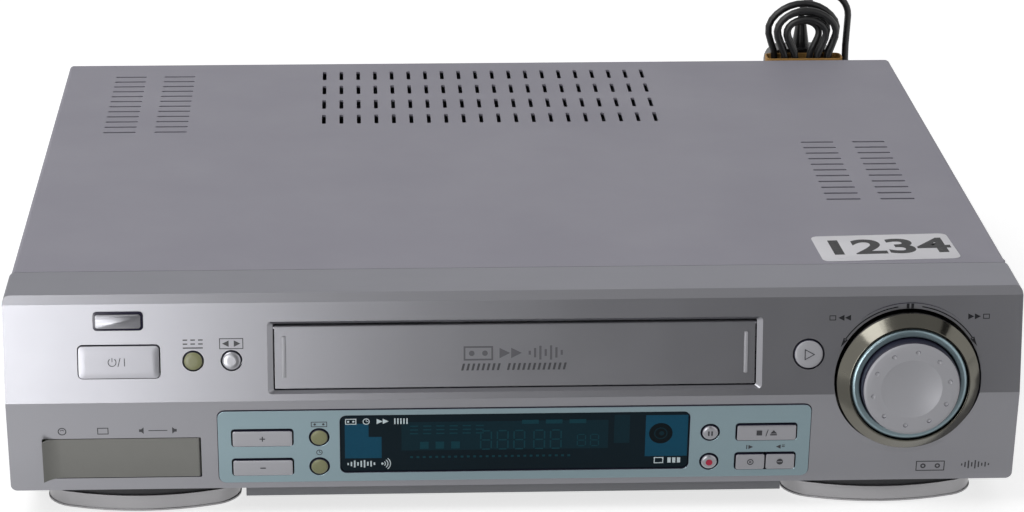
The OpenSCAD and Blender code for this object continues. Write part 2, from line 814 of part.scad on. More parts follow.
module front_board() {
    end_x = panel_in_x - 7.5;
    side_x = cage_x + 6;
    top = body_h - 8;
    low = crease_z - 3.5;
    color("#2f5a3c") at(0, 0, 0) standing(board_y, board_t)
        polygon([[-end_x, floor_z], [end_x, floor_z], [end_x, top], [side_x, top],
            [side_x, low], [-side_x, low], [-side_x, top], [-end_x, top]]);
}

module display_tube() {
    color("#22302f") on_lower(0, window_z) {
        plate(tube_w, tube_h, 0.6, bezel_back + 1.4, 6);
        for (i = [-5:5]) translate([i * 10, bezel_back + 7, -tube_h / 2 + 1]) cube([1, 4.6, 1]);
    }
}

// Outline of a front foot from above: a bowed front between round corners, drawn in by an inset
function bowed(p) = [p[0], p[1] + p[0] * p[0] / (2 * foot_bow)];
function foot_plan(inset) = let (w = foot_w / 2 - inset, y = foot_front + inset, r = foot_corner)
    [for (p = concat([[w, foot_back], [-w, foot_back]],
        [for (i = [0:6]) [-w + r * (1 - cos(15 * i)), y + r * (1 - sin(15 * i))]],
        [for (i = [-3:3]) [i * (w - r) / 4, y]],
        [for (i = [0:6]) [w - r * (1 - sin(15 * i)), y + r * (1 - cos(15 * i))]])) bowed(p)];
module foot_layer(inset, low, high) {
    at(foot_x, 0, low) linear_extrude(high - low) polygon(foot_plan(inset));
}

// A front foot has a lip at its bottom, a wall and a rim under the base
pad_inset = 9;
foot_layers = [[2, pad_drop], [0.6, 1.2], [1, 1.9], [0, base_bottom - 1.1]];
module front_feet() {
    color("#b5b4b2") both_sides() for (i = [0:3])
        foot_layer(foot_layers[i][0], foot_layers[i][1],
            i < 3 ? foot_layers[i + 1][1] : base_bottom);
}

rear_foot_y = body_d - rear_foot_in;
module foot_pads() {
    color("#1d1d1e") both_sides() {
        foot_layer(pad_inset, 0, pad_drop);
        at(rear_foot_x, rear_foot_y, 0) cylinder(r = rear_foot_r - 3, h = pad_drop);
    }
}

// Bosses that carry the deck and the main board
deck_posts = [[104, 44], [104, 290]];
board_posts = [for (y = [board_ends[0] + 10, board_ends[1] - 10]) [board_x - 7, y]];
power_posts = [for (x = [power_side[0] + 6, power_side[1] - 6],
    y = [power_ends[0] + 10, power_ends[1] - 7]) [x, y]];
board_post_r = 3;
module chassis_base() {
    wall = 2;
    inside_rim = 1.2;
    color("#3b3b3e") {
        span([-base_x, base_x], [base_step_y, rear_out_y - front_y], [base_bottom, floor_z]);
        span([-skirt_x, skirt_x], [lip_y, base_step_y], [base_bottom, floor_z]);
        span([-skirt_x, skirt_x], [lip_y, lip_y + wall], [floor_z, panel_bottom - gap]);
        both_sides() {
            foot_layer(inside_rim, base_bottom, floor_z);
            span([base_x - wall, base_x], [panel_depth + 1, rear_in_y - front_y - gap],
                [floor_z, floor_z + base_wall_h]);
            for (p = deck_posts) at(p[0], p[1], floor_z)
                cylinder(r = post_r, h = deck_z - deck_t - floor_z);
            for (p = board_posts) at(p[0], p[1], floor_z)
                cylinder(r = board_post_r, h = board_z - floor_z);
            at(rear_foot_x, rear_foot_y, pad_drop)
                cylinder(r = rear_foot_r, h = base_bottom - pad_drop);
        }
        for (p = power_posts) at(p[0], p[1], floor_z)
            cylinder(r = board_post_r, h = board_z - floor_z);
    }
}

// Places on the rear panel, seen from above with Y measured from the crease
rear_out = rear_out_y - front_y;
rear_in = rear_in_y - front_y;
scart_z = [scart_low_z, scart_low_z + scart_pitch];
aerial_z = [32, 50];
phono_rows = [0, 1];
phono_columns = [-1, 0, 1];
shell_w = scart_w + 3.2;
shell_h = scart_h + 2.8;
relief_r = 6.2;
socket_room = 1.05;

module rear_panel() {
    color("#9a9aa0") difference() {
        span([-base_x, base_x], [rear_in, rear_out], [floor_z, body_h - sheet - gap]);
        for (z = scart_z) at(scart_x, 0, z) plate(shell_w + 2 * gap, shell_h + 2 * gap, 1.5,
            rear_in - 5, 10);
        at(aerial_x, 0, aerial_z[0]) disc(aerial_in_r + socket_room, rear_in - 5, 10);
        at(aerial_x, 0, aerial_z[1]) disc(aerial_out_r + socket_room, rear_in - 5, 10);
        for (c = phono_columns, r = phono_rows)
            at(phono_x + c * phono_pitch, 0, phono_z + r * phono_pitch)
                disc(phono_r + socket_room, rear_in - 5, 10);
        at(lead_x, 0, lead_z) disc(relief_r + pin_fit, rear_in - 5, 10);
        for (x = tab_x) at(x, 0, tab_z) disc(screw_r + pin_fit, rear_in - 5, 10);
    }
}

// One multi-pin socket: a shell with one slanted corner side, and the contact block inside it
module scart_outline(w, h) {
    slant = h * 0.55;
    polygon([[-w / 2 + slant, -h / 2], [w / 2, -h / 2], [w / 2, h / 2], [-w / 2, h / 2],
        [-w / 2, -h / 2 + slant * 0.6]]);
}
scart_depth = 11;
module scart_sockets() {
    stand_out = 1.5;
    contacts = 20;
    color("#202022") for (z = scart_z) at(scart_x, 0, z) {
        difference() {
            union() {
                plate(shell_w, shell_h, 1.2, rear_in - 3, rear_out - rear_in + 3 + stand_out);
                plate(shell_w + 3, shell_h + 3, 1.2, rear_in - 14, 14);
            }
            standing(rear_out + stand_out - scart_depth, scart_depth + 1)
                scart_outline(scart_w, scart_h);
        }
        difference() {
            standing(rear_out + stand_out - scart_depth, scart_depth - 1)
                scart_outline(scart_w - 5.4, scart_h - 5.4);
            for (i = [0:contacts - 1])
                translate([(i - (contacts - 1) / 2) * 1.9 - 0.45, rear_out - 4,
                    i % 2 == 0 ? 0.6 : -3.8])
                    cube([0.9, 10, 3.2]);
        }
    }
}

module aerial_sockets() {
    tip = body_d + aerial_proud;
    color("#a9a9a4") {
        difference() {
            union() {
                span([aerial_x - 11, aerial_x + 11], [rear_in - 24, rear_in],
                    [aerial_z[0] - 10, aerial_z[1] + 10]);
                at(aerial_x, 0, aerial_z[0]) disc(aerial_in_r, rear_in - 1, tip - rear_in + 1);
                at(aerial_x, 0, aerial_z[1]) disc(aerial_out_r, rear_in - 1, tip - rear_in + 1);
            }
            at(aerial_x, 0, aerial_z[0]) disc(1.3, tip - 9, 10);
            at(aerial_x, 0, aerial_z[1]) disc(aerial_bore, tip - 9, 10);
        }
        at(aerial_x, 0, aerial_z[1]) disc(1.2, tip - 10, 9);
    }
}

module output_sockets() {
    color("#2a2a2c") {
        span([phono_x - 1.5 * phono_pitch, phono_x + 1.5 * phono_pitch], [rear_in - 12, rear_in],
            [phono_z - phono_pitch / 2, phono_z + 1.5 * phono_pitch]);
        for (c = phono_columns, r = phono_rows)
            at(phono_x + c * phono_pitch, 0, phono_z + r * phono_pitch) difference() {
                disc(phono_r, rear_in, rear_out + phono_proud - rear_in);
                disc(phono_bore, rear_out + phono_proud - 8, 9);
            }
    }
}

board_thick = 1.6;
module main_board() {
    color("#8a7a3e") {
        difference() {
            span([-board_x, board_x], board_ends, [board_z, board_z + board_thick]);
            at(0, drum_y, 0) cylinder(r = 6, h = 40);
        }
        for (i = [0:5]) span([-80 + i * 24, -66 + i * 24], [80, 94],
            [board_z + board_thick, board_z + 4]);
        for (i = [0:3]) span([-84 + i * 20, -72 + i * 20], [180, 198],
            [board_z + board_thick, board_z + 4.5]);
    }
}

heat_sink_t = 3;
heat_sink_top = 60;
module power_board() {
    color("#a58a4a") span(power_side, power_ends, [board_z, board_z + board_thick]);
    color("#b9bbbd") span([power_side[1] - 1 - heat_sink_t, power_side[1] - 1],
        [power_ends[0] + 35, power_ends[1] - 15], [board_z + board_thick, heat_sink_top]);
}

transformer_at = [power_side[0] + 28, power_ends[1] - 25];
module power_transformer() {
    top = board_z + board_thick;
    color("#2e2b29") at(transformer_at[0], transformer_at[1], top) {
        difference() {
            translate([-18, -8, 0]) cube([36, 16, 32]);
            for (x = [-12, 6]) translate([x, -9, 6]) cube([6, 18, 20]);
        }
    }
    color("#c9a33c") at(transformer_at[0], transformer_at[1], top + 6.3) difference() {
        cylinder(r = 11.7, h = 19.4);
        translate([-6.2, -8.2, -1]) cube([12.4, 16.4, 22]);
        translate([-12.2, -8.2, -1]) cube([24.4, 16.4, 0.5]);
    }
}

capacitor_at = [for (y = [218, 246, 274]) [power_side[1] - 18, y]];
module filter_capacitors() {
    color("#23303c") for (p = capacitor_at)
        at(p[0], p[1], board_z + board_thick) cylinder(r = 11, h = 34);
}

// A guide post's slot through the deck, along the path from the cassette to the drum's side
module guide_slot() {
    at(guide_from[0], guide_from[1], deck_z) rotate([0, 0, -guide_angle])
        translate([-stud_r - pin_fit, -stud_r - 1, -5])
            cube([2 * (stud_r + pin_fit), guide_travel + 2 * stud_r + 2, 10]);
}

bearing_r = 4;
deck_low = deck_z - deck_t;
flywheel_top = 24;
module deck_plate() {
    color("#b0b3b5") difference() {
        union() {
            span([-deck_w / 2, deck_w / 2], [deck_front, deck_rear], [deck_low, deck_z]);
            at(capstan_at[0], capstan_at[1], flywheel_top + 0.4)
                cylinder(r = bearing_r, h = arm_z - gap - flywheel_top - 0.4);
            for (x = [-reel_x, reel_x]) at(x, reel_y, deck_z) cylinder(r = stud_r, h = spindle_h - 3);
            at(pinch_at[0], pinch_at[1], deck_z) cylinder(r = stud_r, h = 14);
            at(idler_at[0], idler_at[1], deck_z) cylinder(r = stud_r, h = 7);
            at(tension_at[0], tension_at[1], deck_z) cylinder(r = stud_r, h = 8);
        }
        at(capstan_at[0], capstan_at[1], 0) cylinder(r = capstan_r + fit, h = 80);
        both_sides() guide_slot();
    }
}

// The cage's side plates carry an L-shaped slot for each of the tray's pins
module pin_slot(i, x) {
    r = tray_pin_r + pin_fit;
    span([x - 3, x + 5], [pin_y[i] - r, pin_y[i] + tray_travel + r], [pin_z[i] - r, pin_z[i] + r]);
    span([x - 3, x + 5], [pin_y[i] + tray_travel - r, pin_y[i] + tray_travel + r],
        [pin_z[i] - tray_drop - r, pin_z[i] + r]);
}
bridge_l = 4;
bridge_h = 1.4;
module cassette_cage() {
    color("#a7aaad") {
        both_sides() difference() {
            union() {
                span([cage_x, cage_x + cage_t], [cage_front, cage_rear], [deck_z, cage_top]);
                span([cage_x, cage_x + 6], [cage_front + 4, cage_front + 30],
                    [deck_z, deck_z + cage_t]);
            }
            for (i = [0, 1]) pin_slot(i, cage_x);
        }
        for (y = [cage_front, cage_rear - bridge_l])
            span([-cage_x, cage_x], [y, y + bridge_l], [cage_top - bridge_h, cage_top]);
    }
}

slider_y = [40, 115];
slider_bar_y = [60, 68];
slider_bar_z = cage_top + gap;

// The tray rests at the corner of its path: back from the door, and not yet lowered
module tray_sliders() {
    r = tray_pin_r + pin_fit;
    color("#d8d6cf") translate([0, tray_travel, 0]) {
        both_sides() difference() {
            span([slider_x, slider_x + slider_t], slider_y, [36, slider_bar_z + 1.4]);
            for (i = [0, 1]) span([slider_x - 1, slider_x + 3], [pin_y[i] - r, pin_y[i] + r],
                [pin_z[i] - tray_drop - r, pin_z[i] + r]);
        }
        span([-slider_x, slider_x], slider_bar_y, [slider_bar_z, slider_bar_z + 1.4]);
    }
}

module cassette_tray() {
    back = tray_front + tray_l;
    top = tray_z + tray_h;
    color("#8d9094") translate([0, tray_travel, 0]) {
        both_sides() {
            span([tray_in_x, tray_wall_x], [tray_front, back], [tray_z, top]);
            span([tray_wall_x - shelf_w, tray_in_x], [tray_front, back],
                [tray_z, tray_z + tray_plate]);
            for (i = [0, 1]) at(tray_in_x, pin_y[i], pin_z[i]) rotate([0, 90, 0])
                cylinder(r = tray_pin_r, h = slider_x + slider_t + 0.3 - tray_in_x);
        }
        span([-tray_in_x, tray_in_x], [tray_front + 12, back - 16], [top - tray_plate, top]);
    }
}

// The drum stands on a plinth on the deck and leans towards the back
drum_seat = 4.4;
drum_low_top = drum_seat + drum_low_h;
shaft_r = 3;
module on_drum() {
    at(0, drum_y, deck_z) rotate([drum_tilt, 0, 0]) children();
}
module drum_base() {
    color("#9fa2a5") difference() {
        union() {
            span([-24, 24], [drum_y - 24, drum_y + 24], [deck_z, deck_z + 6]);
            on_drum() translate([0, 0, drum_seat]) cylinder(r = drum_r, h = drum_low_h);
        }
        on_drum() translate([0, 0, drum_seat + 2]) cylinder(r = shaft_r + fit, h = 40);
    }
}
module head_drum() {
    color("#c6c9cc") on_drum() difference() {
        union() {
            translate([0, 0, drum_low_top + gap]) cylinder(r = drum_r, h = drum_high_h);
            translate([0, 0, drum_seat + 2 + gap]) cylinder(r = shaft_r, h = drum_low_h);
        }
        for (i = [0:3]) rotate([0, 0, 90 * i + 20])
            translate([drum_r - 4, -1.5, drum_low_top - 1]) cube([6, 3, 4]);
        translate([0, 0, drum_low_top + gap + drum_high_h - 3]) difference() {
            cylinder(r = drum_r - 6, h = 4);
            cylinder(r = 9, h = 4);
        }
    }
}

module capstan_rotor() {
    color("#c2c4c6") at(capstan_at[0], capstan_at[1], 0) {
        translate([0, 0, flywheel_top - 4.5]) cylinder(r = 22, h = 4.5);
        translate([0, 0, flywheel_top - 1]) cylinder(r = capstan_r, h = deck_z + post_h - flywheel_top);
    }
}

// The pinch arm rests swung away, and swings the roller up to the capstan
arm_z = deck_z + 8;
arm_t = 2.5;
roller_h = 16;
module on_pinch() {
    at(pinch_at[0], pinch_at[1], arm_z) rotate([0, 0, 180 + pinch_swing]) children();
}
module pinch_arm() {
    pin = 1.2;
    color("#b3b6b8") on_pinch() difference() {
        union() {
            cylinder(r = 4.5, h = arm_t + 3);
            translate([0, -3, 0]) cube([pinch_l, 6, arm_t]);
            translate([pinch_l, 0, 0]) cylinder(r = 4.5, h = arm_t);
            translate([pinch_l, 0, arm_t - 0.5]) cylinder(r = pin, h = roller_h + 2.5);
        }
        translate([0, 0, -1]) cylinder(r = stud_r + fit, h = 10);
    }
}
module pinch_roller() {
    color("#262628") on_pinch() translate([pinch_l, 0, arm_t + gap]) difference() {
        cylinder(r = roller_r, h = roller_h);
        translate([0, 0, -1]) cylinder(r = 1.2 + fit, h = roller_h + 2);
    }
}

// A reel table turns on the deck's stud; its flange has the teeth that the idler drives
reel_low = deck_z + 0.6;
flange_t = 4;
reel_teeth = 60;
module reel(x) {
    ribs = 6;
    color("#e2e0da") at(x, reel_y, reel_low) difference() {
        union() {
            linear_extrude(flange_t) polygon([for (i = [0:2 * reel_teeth - 1])
                let (r = i % 2 == 0 ? reel_r : reel_r - 0.8)
                [r * cos(180 * i / reel_teeth), r * sin(180 * i / reel_teeth)]]);
            cylinder(r = 12, h = 6.5);
            cylinder(r = spindle_r - 1.2, h = spindle_h);
            for (i = [0:ribs - 1]) rotate([0, 0, 360 * i / ribs])
                translate([0, -0.8, 0]) cube([spindle_r, 1.6, spindle_h - 2]);
        }
        translate([0, 0, -1]) cylinder(r = stud_r + fit, h = spindle_h - 1.5);
    }
}
module supply_reel() { reel(-reel_x); }
module takeup_reel() { reel(reel_x); }

module idler_arm() {
    color("#d5cdb6") at(idler_at[0], idler_at[1], deck_z + gap) difference() {
        union() {
            cylinder(r = 4, h = 6);
            translate([-2.5, 0, 0]) cube([5, idler_l, 1.8]);
            translate([0, idler_l, 0.4]) linear_extrude(3.6)
                polygon([for (i = [0:83]) let (r = i % 2 == 0 ? idler_r : idler_r - 0.8)
                    [r * cos(360 * i / 84), r * sin(360 * i / 84)]]);
        }
        translate([0, 0, -1]) cylinder(r = stud_r + fit, h = 9);
    }
}

// A guide post stands on a shoe whose pin runs in the deck's slot
module guide() {
    at(guide_from[0], guide_from[1], deck_z + gap) {
        rotate([0, 0, -guide_angle]) translate([-4.5, -4.5, 0]) cube([9, 9, 3.5]);
        translate([0, 0, -gap - deck_t - 1]) cylinder(r = stud_r, h = 4);
        cylinder(r = guide_post_r, h = post_h - gap);
        translate([0, 0, post_h - 3]) cylinder(r = guide_post_r + 1, h = 2);
    }
}
module supply_guide() { color("#cfd2d4") mirror([1, 0, 0]) guide(); }
module takeup_guide() { color("#cfd2d4") guide(); }

module tension_arm() {
    color("#b7babc") at(tension_at[0], tension_at[1], deck_z + gap) rotate([0, 0, -20])
        difference() {
            union() {
                cylinder(r = 4, h = 6);
                translate([0, -2, 0]) cube([tension_l, 4, 2]);
                translate([tension_l, 0, 0]) cylinder(r = 2, h = post_h - 2);
            }
            translate([0, 0, -1]) cylinder(r = stud_r + fit, h = 9);
        }
}

fixed_head_x = [-59, 53];
fixed_head_y = drum_y - 15;
fixed_head_half = 5;
module fixed_heads() {
    color("#9c9ea1") for (x = fixed_head_x)
        span([x - fixed_head_half, x + fixed_head_half],
            [fixed_head_y - fixed_head_half, fixed_head_y + fixed_head_half],
            [deck_z, deck_z + 26]);
}

module strain_relief() {
    color("#161617") at(lead_x, 0, lead_z) turned([[0, rear_in - 8], [relief_r - 1, rear_in - 8],
        [relief_r, rear_in - 6], [relief_r, rear_out], [relief_r + 2, rear_out],
        [relief_r + 2, rear_out + 1.5], [4.4, rear_out + 2.5], [2.8, rear_out + relief_proud],
        [0, rear_out + relief_proud]]);
}

// A tube swept along points: rings square to the path, closed at both ends
function unit(v) = v / norm(v);
function heading(p, i) = unit(p[min(i + 1, len(p) - 1)] - p[i] == [0, 0, 0]
    ? p[i] - p[i - 1]
    : i == 0 ? p[1] - p[0] : unit(p[i + 1] - p[i]) + unit(p[i] - p[i - 1]));
function ring(p, i, r, sides, side) = let (t = heading(p, i), a = unit(cross(t, side)),
    b = cross(a, t)) [for (k = [0:sides - 1])
    p[i] + r * (cos(360 * k / sides) * a + sin(360 * k / sides) * b)];
module tube(p, r, sides, side) {
    n = len(p);
    points = [for (i = [0:n - 1]) each ring(p, i, r, sides, side)];
    walls = [for (i = [0:n - 2], k = [0:sides - 1]) let (a = i * sides + k,
        b = i * sides + (k + 1) % sides) each [[a, a + sides, b], [b, a + sides, b + sides]]];
    first = [for (k = [1:sides - 2]) [0, k, k + 1]];
    last = [for (k = [1:sides - 2]) let (e = (n - 1) * sides) [e, e + k + 1, e + k]];
    polyhedron(points = points, faces = concat(walls, first, last));
}

// The hank winds inwards in its front layer, crosses over and winds outwards in its rear layer
function wind(u) = hank_fold_r + hank_step * (u < 2 ? 2 - u : u < 2.5 ? 0 : u - 2.5);
fold_z = wind(hank_turns) + cord_r + 0.1;
function waist(r) = waist_in + (r - hank_fold_r) * waist_step / hank_step;
function dip(z) = abs(z - waist_z) < waist_reach ? pow(cos(90 * (z - waist_z) / waist_reach), 2) : 0;
function drawn_in(x, z, r) = [x * (1 - (1 - waist(r) / r) * dip(z)), z];
function on_loop(j, r) = let (q = quarter, top = fold_z + hank_run)
    j < q ? [r * sin(90 * j / q), fold_z - r * cos(90 * j / q)]
    : j < 2 * q ? [r, fold_z + hank_run * run_marks[j - q]]
    : j < 4 * q ? [r * cos(90 * (j - 2 * q) / q), top + r * sin(90 * (j - 2 * q) / q)]
    : j < 5 * q ? [-r, fold_z + hank_run * run_marks[5 * q - j]]
    : [-r * cos(90 * (j - 5 * q) / q), fold_z - r * sin(90 * (j - 5 * q) / q)];
function layer(u) = layer_step * max(0, min(1, (u - 2) / 0.5));
wound = hank_turns * loop_rings;
function hank_ring(i) = let (u = i / loop_rings, r = wind(u), s = on_loop(i % loop_rings, r),
    d = i > wound ? s : drawn_in(s[0], s[1], r))
    [hank_at[0] + d[0], hank_at[1] + layer(u), d[1]];

// The tail leaves the rear layer, rises behind the loops and turns down into the plug's sleeve
tail_r = wind(hank_turns + 0.5) / 2;
function tail_ring(j) = let (p = hank_ring(wound + j), f = max(0, min(1, (j - quarter) / quarter)))
    [p[0], p[1] + (plug_y - hank_at[1] - layer_step) * run_marks[round(f * 4)], p[2]];
tail_fold = [for (k = [0:8]) [hank_at[0] + tail_r + tail_r * cos(22.5 * k), plug_y,
    tail_fold_z + tail_r * sin(22.5 * k)]];
hank_path = concat([[hank_at[0] - cord_d, hank_at[1], fold_z - wind(0)]],
    [for (i = [0:wound]) hank_ring(i)],
    [for (j = [1:2 * quarter - 1]) tail_ring(j)], tail_fold,
    [[hank_at[0], plug_y, tail_fold_z - cord_d]]);

// Least distance between stretches of the hank that are not neighbours, less the lead's thickness
function to_stretch(p, a, b) = let (t = max(0, min(1, (p - a) * (b - a) / ((b - a) * (b - a)))))
    norm(p - a - t * (b - a));
function least_gap(p) = min([for (i = [0:len(p) - 2], j = [0:len(p) - 1])
    if (abs(i - j) > 3) to_stretch(p[j], p[i], p[i + 1])]) - cord_d;

module mains_lead() {
    color("#141415") tube(lead_route, cord_r, 8, [0, 0, 1]);
}
module mains_hank() {
    echo(hank_least_gap = least_gap(hank_path));
    color("#141415") tube(hank_path, cord_r, 6, [0, 1, 0]);
}

// The tie is a flat band round the hank's waist
tie_h = 6;
tie_t = 0.8;
tie_w = 2 * (waist(wind(hank_turns)) + cord_r + 0.9);
module cord_tie() {
    d = layer_step + cord_d + 2 * gap;
    color("#b98d4f") translate([hank_at[0], hank_at[1] + layer_step / 2, waist_z - tie_h / 2])
        linear_extrude(tie_h) difference() {
            polygon(rounded(tie_w + 2 * tie_t, d + 2 * tie_t, 3));
            polygon(rounded(tie_w, d, 2.2));
        }
}

sleeve_low = tail_fold_z - cord_d - sleeve_l;
module mains_plug() {
    color("#161617") translate([hank_at[0], plug_y, sleeve_low]) {
        cylinder(r1 = 4.4, r2 = 2.6, h = sleeve_l);
        difference() {
            translate([0, 0, -plug_l / 2]) plate(plug_w, plug_l, 8, -plug_t / 2, plug_t);
            translate([-plug_w, -plug_t, -plug_l - 1]) cube([2 * plug_w, 2 * plug_t, 1.4]);
        }
    }
    color("#c9c7c0") for (x = [-9.5, 9.5])
        translate([hank_at[0] + x, plug_y, sleeve_low - plug_l - 18.6]) cylinder(r = 2, h = 19);
}

top_cover();
cover_screws();
front_panel();
display_bezel();
display_window();
cassette_door();
power_button();
filter_button();
speed_button();
play_button();
channel_up_button();
channel_down_button();
format_button();
timer_button();
pause_button();
record_button();
stop_button();
insert_button();
dub_button();
dial_trim_ring();
shuttle_ring();
jog_dial();
jog_encoder();
socket_flap();
front_sockets();
front_board();
display_tube();
front_feet();
foot_pads();
chassis_base();
rear_panel();
scart_sockets();
aerial_sockets();
output_sockets();
main_board();
power_board();
power_transformer();
filter_capacitors();
deck_plate();
cassette_cage();
tray_sliders();
cassette_tray();
drum_base();
head_drum();
capstan_rotor();
pinch_arm();
pinch_roller();
supply_reel();
takeup_reel();
idler_arm();
supply_guide();
takeup_guide();
tension_arm();
fixed_heads();
strain_relief();
mains_lead();
mains_hank();
cord_tie();
mains_plug();
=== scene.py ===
"""A front-loading video cassette recorder: finishes, prints and finer forms over its CAD frame."""
import json
from math import atan, cos, pi, radians, sin

import bpy
from mathutils import Matrix, Vector

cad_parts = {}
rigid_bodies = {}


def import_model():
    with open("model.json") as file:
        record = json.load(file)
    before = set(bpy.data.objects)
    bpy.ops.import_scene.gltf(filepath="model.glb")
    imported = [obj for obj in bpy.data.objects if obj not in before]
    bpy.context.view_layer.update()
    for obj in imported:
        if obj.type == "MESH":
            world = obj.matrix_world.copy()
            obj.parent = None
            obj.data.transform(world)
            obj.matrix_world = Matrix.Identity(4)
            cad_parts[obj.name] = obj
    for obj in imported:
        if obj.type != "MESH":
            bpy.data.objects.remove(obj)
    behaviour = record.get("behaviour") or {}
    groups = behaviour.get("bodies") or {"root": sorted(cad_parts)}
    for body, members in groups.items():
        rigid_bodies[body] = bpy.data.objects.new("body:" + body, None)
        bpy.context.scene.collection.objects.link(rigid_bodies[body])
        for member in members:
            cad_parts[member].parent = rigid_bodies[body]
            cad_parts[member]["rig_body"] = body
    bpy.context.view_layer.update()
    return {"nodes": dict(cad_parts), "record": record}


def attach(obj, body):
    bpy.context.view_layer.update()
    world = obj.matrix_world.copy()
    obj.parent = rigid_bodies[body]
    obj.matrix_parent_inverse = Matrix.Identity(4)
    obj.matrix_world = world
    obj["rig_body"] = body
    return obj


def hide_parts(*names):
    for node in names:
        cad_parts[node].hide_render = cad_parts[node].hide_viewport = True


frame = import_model()

# Places and sizes of the recorder, in millimetres: X to the right, Y back, Z up
MM = 0.001
BODY_H = 94.0
# The panel's two flat faces meet in a crease and lean back from it, below and above
CREASE_Y, CREASE_Z = -169.8, 51.5
LOWER_TILT = atan(5.9 / (CREASE_Z - 12.3))
UPPER_TILT = -atan(4.16 / (91.0 - CREASE_Z))
SKIRT_TOP = 12.2
PLATE_PROUD, KEY_PROUD = 0.6, 0.8
POWER_AT, PLAY_AT, BADGE_AT = (-155.2, 68.0), (115.6, 68.0), (-155.2, 84.3)
HIGH_ROW, LOW_ROW = 35.3, 22.1  # heights of the keys on the teal plate
CHANNEL_X, ROUND_X, STOP_X, INSERT_X, DUB_X = -99.9, 77.5, 99.9, 94.0, 105.8
DIAL_AT = (155.2, 56.9)
DISH_R, DIAL_FACE_R = 12.05, 15
DOOR_SUNK = 1.6
SMOOTH_BELOW = 40  # degrees


# Small helpers
def clear():
    bpy.ops.object.select_all(action="DESELECT")


def alone(piece):
    clear()
    piece.select_set(True)
    bpy.context.view_layer.objects.active = piece
    return piece


def settle(piece, place=None):
    """Takes a piece to its place, with its object left at the origin, unturned and unscaled."""
    if place is not None:
        piece.matrix_world = place @ piece.matrix_world
    alone(piece)
    bpy.ops.object.transform_apply(location=True, rotation=True, scale=True)
    return piece


def as_mesh(piece):
    alone(piece)
    bpy.ops.object.convert(target="MESH")
    return bpy.context.object


def modified(piece, kind, **settings):
    """One modifier, applied."""
    modifier = piece.modifiers.new(kind, kind)
    for key, value in settings.items():
        setattr(modifier, key, value)
    alone(piece)
    bpy.ops.object.modifier_apply(modifier=modifier.name)
    return piece


def joined(pieces):
    clear()
    for piece in pieces:
        piece.select_set(True)
    bpy.context.view_layer.objects.active = pieces[0]
    if len(pieces) > 1:
        bpy.ops.object.join()
    return bpy.context.object


def smooth(piece):
    """Shades smooth across edges below SMOOTH_BELOW and leaves the sharper ones hard."""
    alone(piece)
    bpy.ops.object.shade_smooth_by_angle(angle=radians(SMOOTH_BELOW))
    return piece


def dressed(piece, name, material, body, slot, *nodes):
    """Gives a finished piece its name, finish and body, and the CAD nodes that it stands for."""
    piece.name = name
    piece.data.materials.clear()
    piece.data.materials.append(material)
    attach(piece, body)
    if nodes:
        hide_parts(*nodes)
    return piece


def on_lower(x, z, proud=0.0):
    """The frame of a spot on the panel's lower face: X along it, Y into it, Z up it, in metres."""
    return face_frame(LOWER_TILT, x, z, proud)


def on_upper(x, z, proud=0.0):
    """The same on the panel's upper face."""
    return face_frame(UPPER_TILT, x, z, proud)


def face_frame(tilt, x, z, proud):
    up = (z - CREASE_Z) / cos(tilt)
    return (Matrix.Translation((0, CREASE_Y * MM, CREASE_Z * MM)) @ Matrix.Rotation(tilt, 4, "X")
            @ Matrix.Translation((x * MM, -proud * MM, up * MM)))


# The camera, as a least-squares fit to the photograph found it
CAMERA_AT = Vector((-0.06296, -1.38400, 0.52451))
PITCH, YAW, ROLL = radians(19.7927), radians(2.5060), radians(0.2271)
FOCAL_PX, CENTRE_PX = 3311.92, (491.085, 313.270)
FRAME_PX = (1024, 512)
SENSOR = 36.0
forward = Vector((sin(YAW) * cos(PITCH), cos(YAW) * cos(PITCH), -sin(PITCH)))
level = Vector((cos(YAW), -sin(YAW), 0))
upright = level.cross(forward)
camera_right = cos(ROLL) * level + sin(ROLL) * upright
camera_up = -sin(ROLL) * level + cos(ROLL) * upright
bpy.ops.object.camera_add()
camera = bpy.context.object
camera.matrix_world = Matrix.Translation(CAMERA_AT) @ Matrix(
    (camera_right, camera_up, -forward)).transposed().to_4x4()
camera.data.sensor_width = SENSOR
camera.data.lens = FOCAL_PX * SENSOR / FRAME_PX[0]
camera.data.shift_x = 0.5 - CENTRE_PX[0] / FRAME_PX[0]
camera.data.shift_y = (CENTRE_PX[1] - FRAME_PX[1] / 2) / FRAME_PX[0]
camera.data.clip_end = 20.0
bpy.context.scene.camera = camera


# Materials
def linear(colour):
    """An sRGB hex colour as the linear numbers, with full alpha, that a socket takes."""
    parts = [int(colour[i:i + 2], 16) / 255 for i in (1, 3, 5)]
    return [c / 12.92 if c <= 0.04045 else ((c + 0.055) / 1.055) ** 2.4 for c in parts] + [1.0]


def add(tree, kind, inputs=None, **settings):
    """Adds a node with its settings; an input is a value, or (node, output) to link from."""
    made = tree.nodes.new("ShaderNode" + kind)
    for key, value in settings.items():
        setattr(made, key, value)
    for key, value in (inputs or {}).items():
        if isinstance(value, tuple) and isinstance(value[0], bpy.types.Node):
            tree.links.new(value[0].outputs[value[1]], made.inputs[key])
        else:
            made.inputs[key].default_value = value
    return made


def blank(name, **sockets):
    """A material with one Principled shader, whose even values sit on its own sockets."""
    material = bpy.data.materials.new(name)
    material.use_nodes = True
    tree = material.node_tree
    tree.nodes.clear()
    shader = add(tree, "BsdfPrincipled", sockets)
    add(tree, "OutputMaterial", {"Surface": (shader, "BSDF")})
    return material, tree, shader, add(tree, "TexCoord")


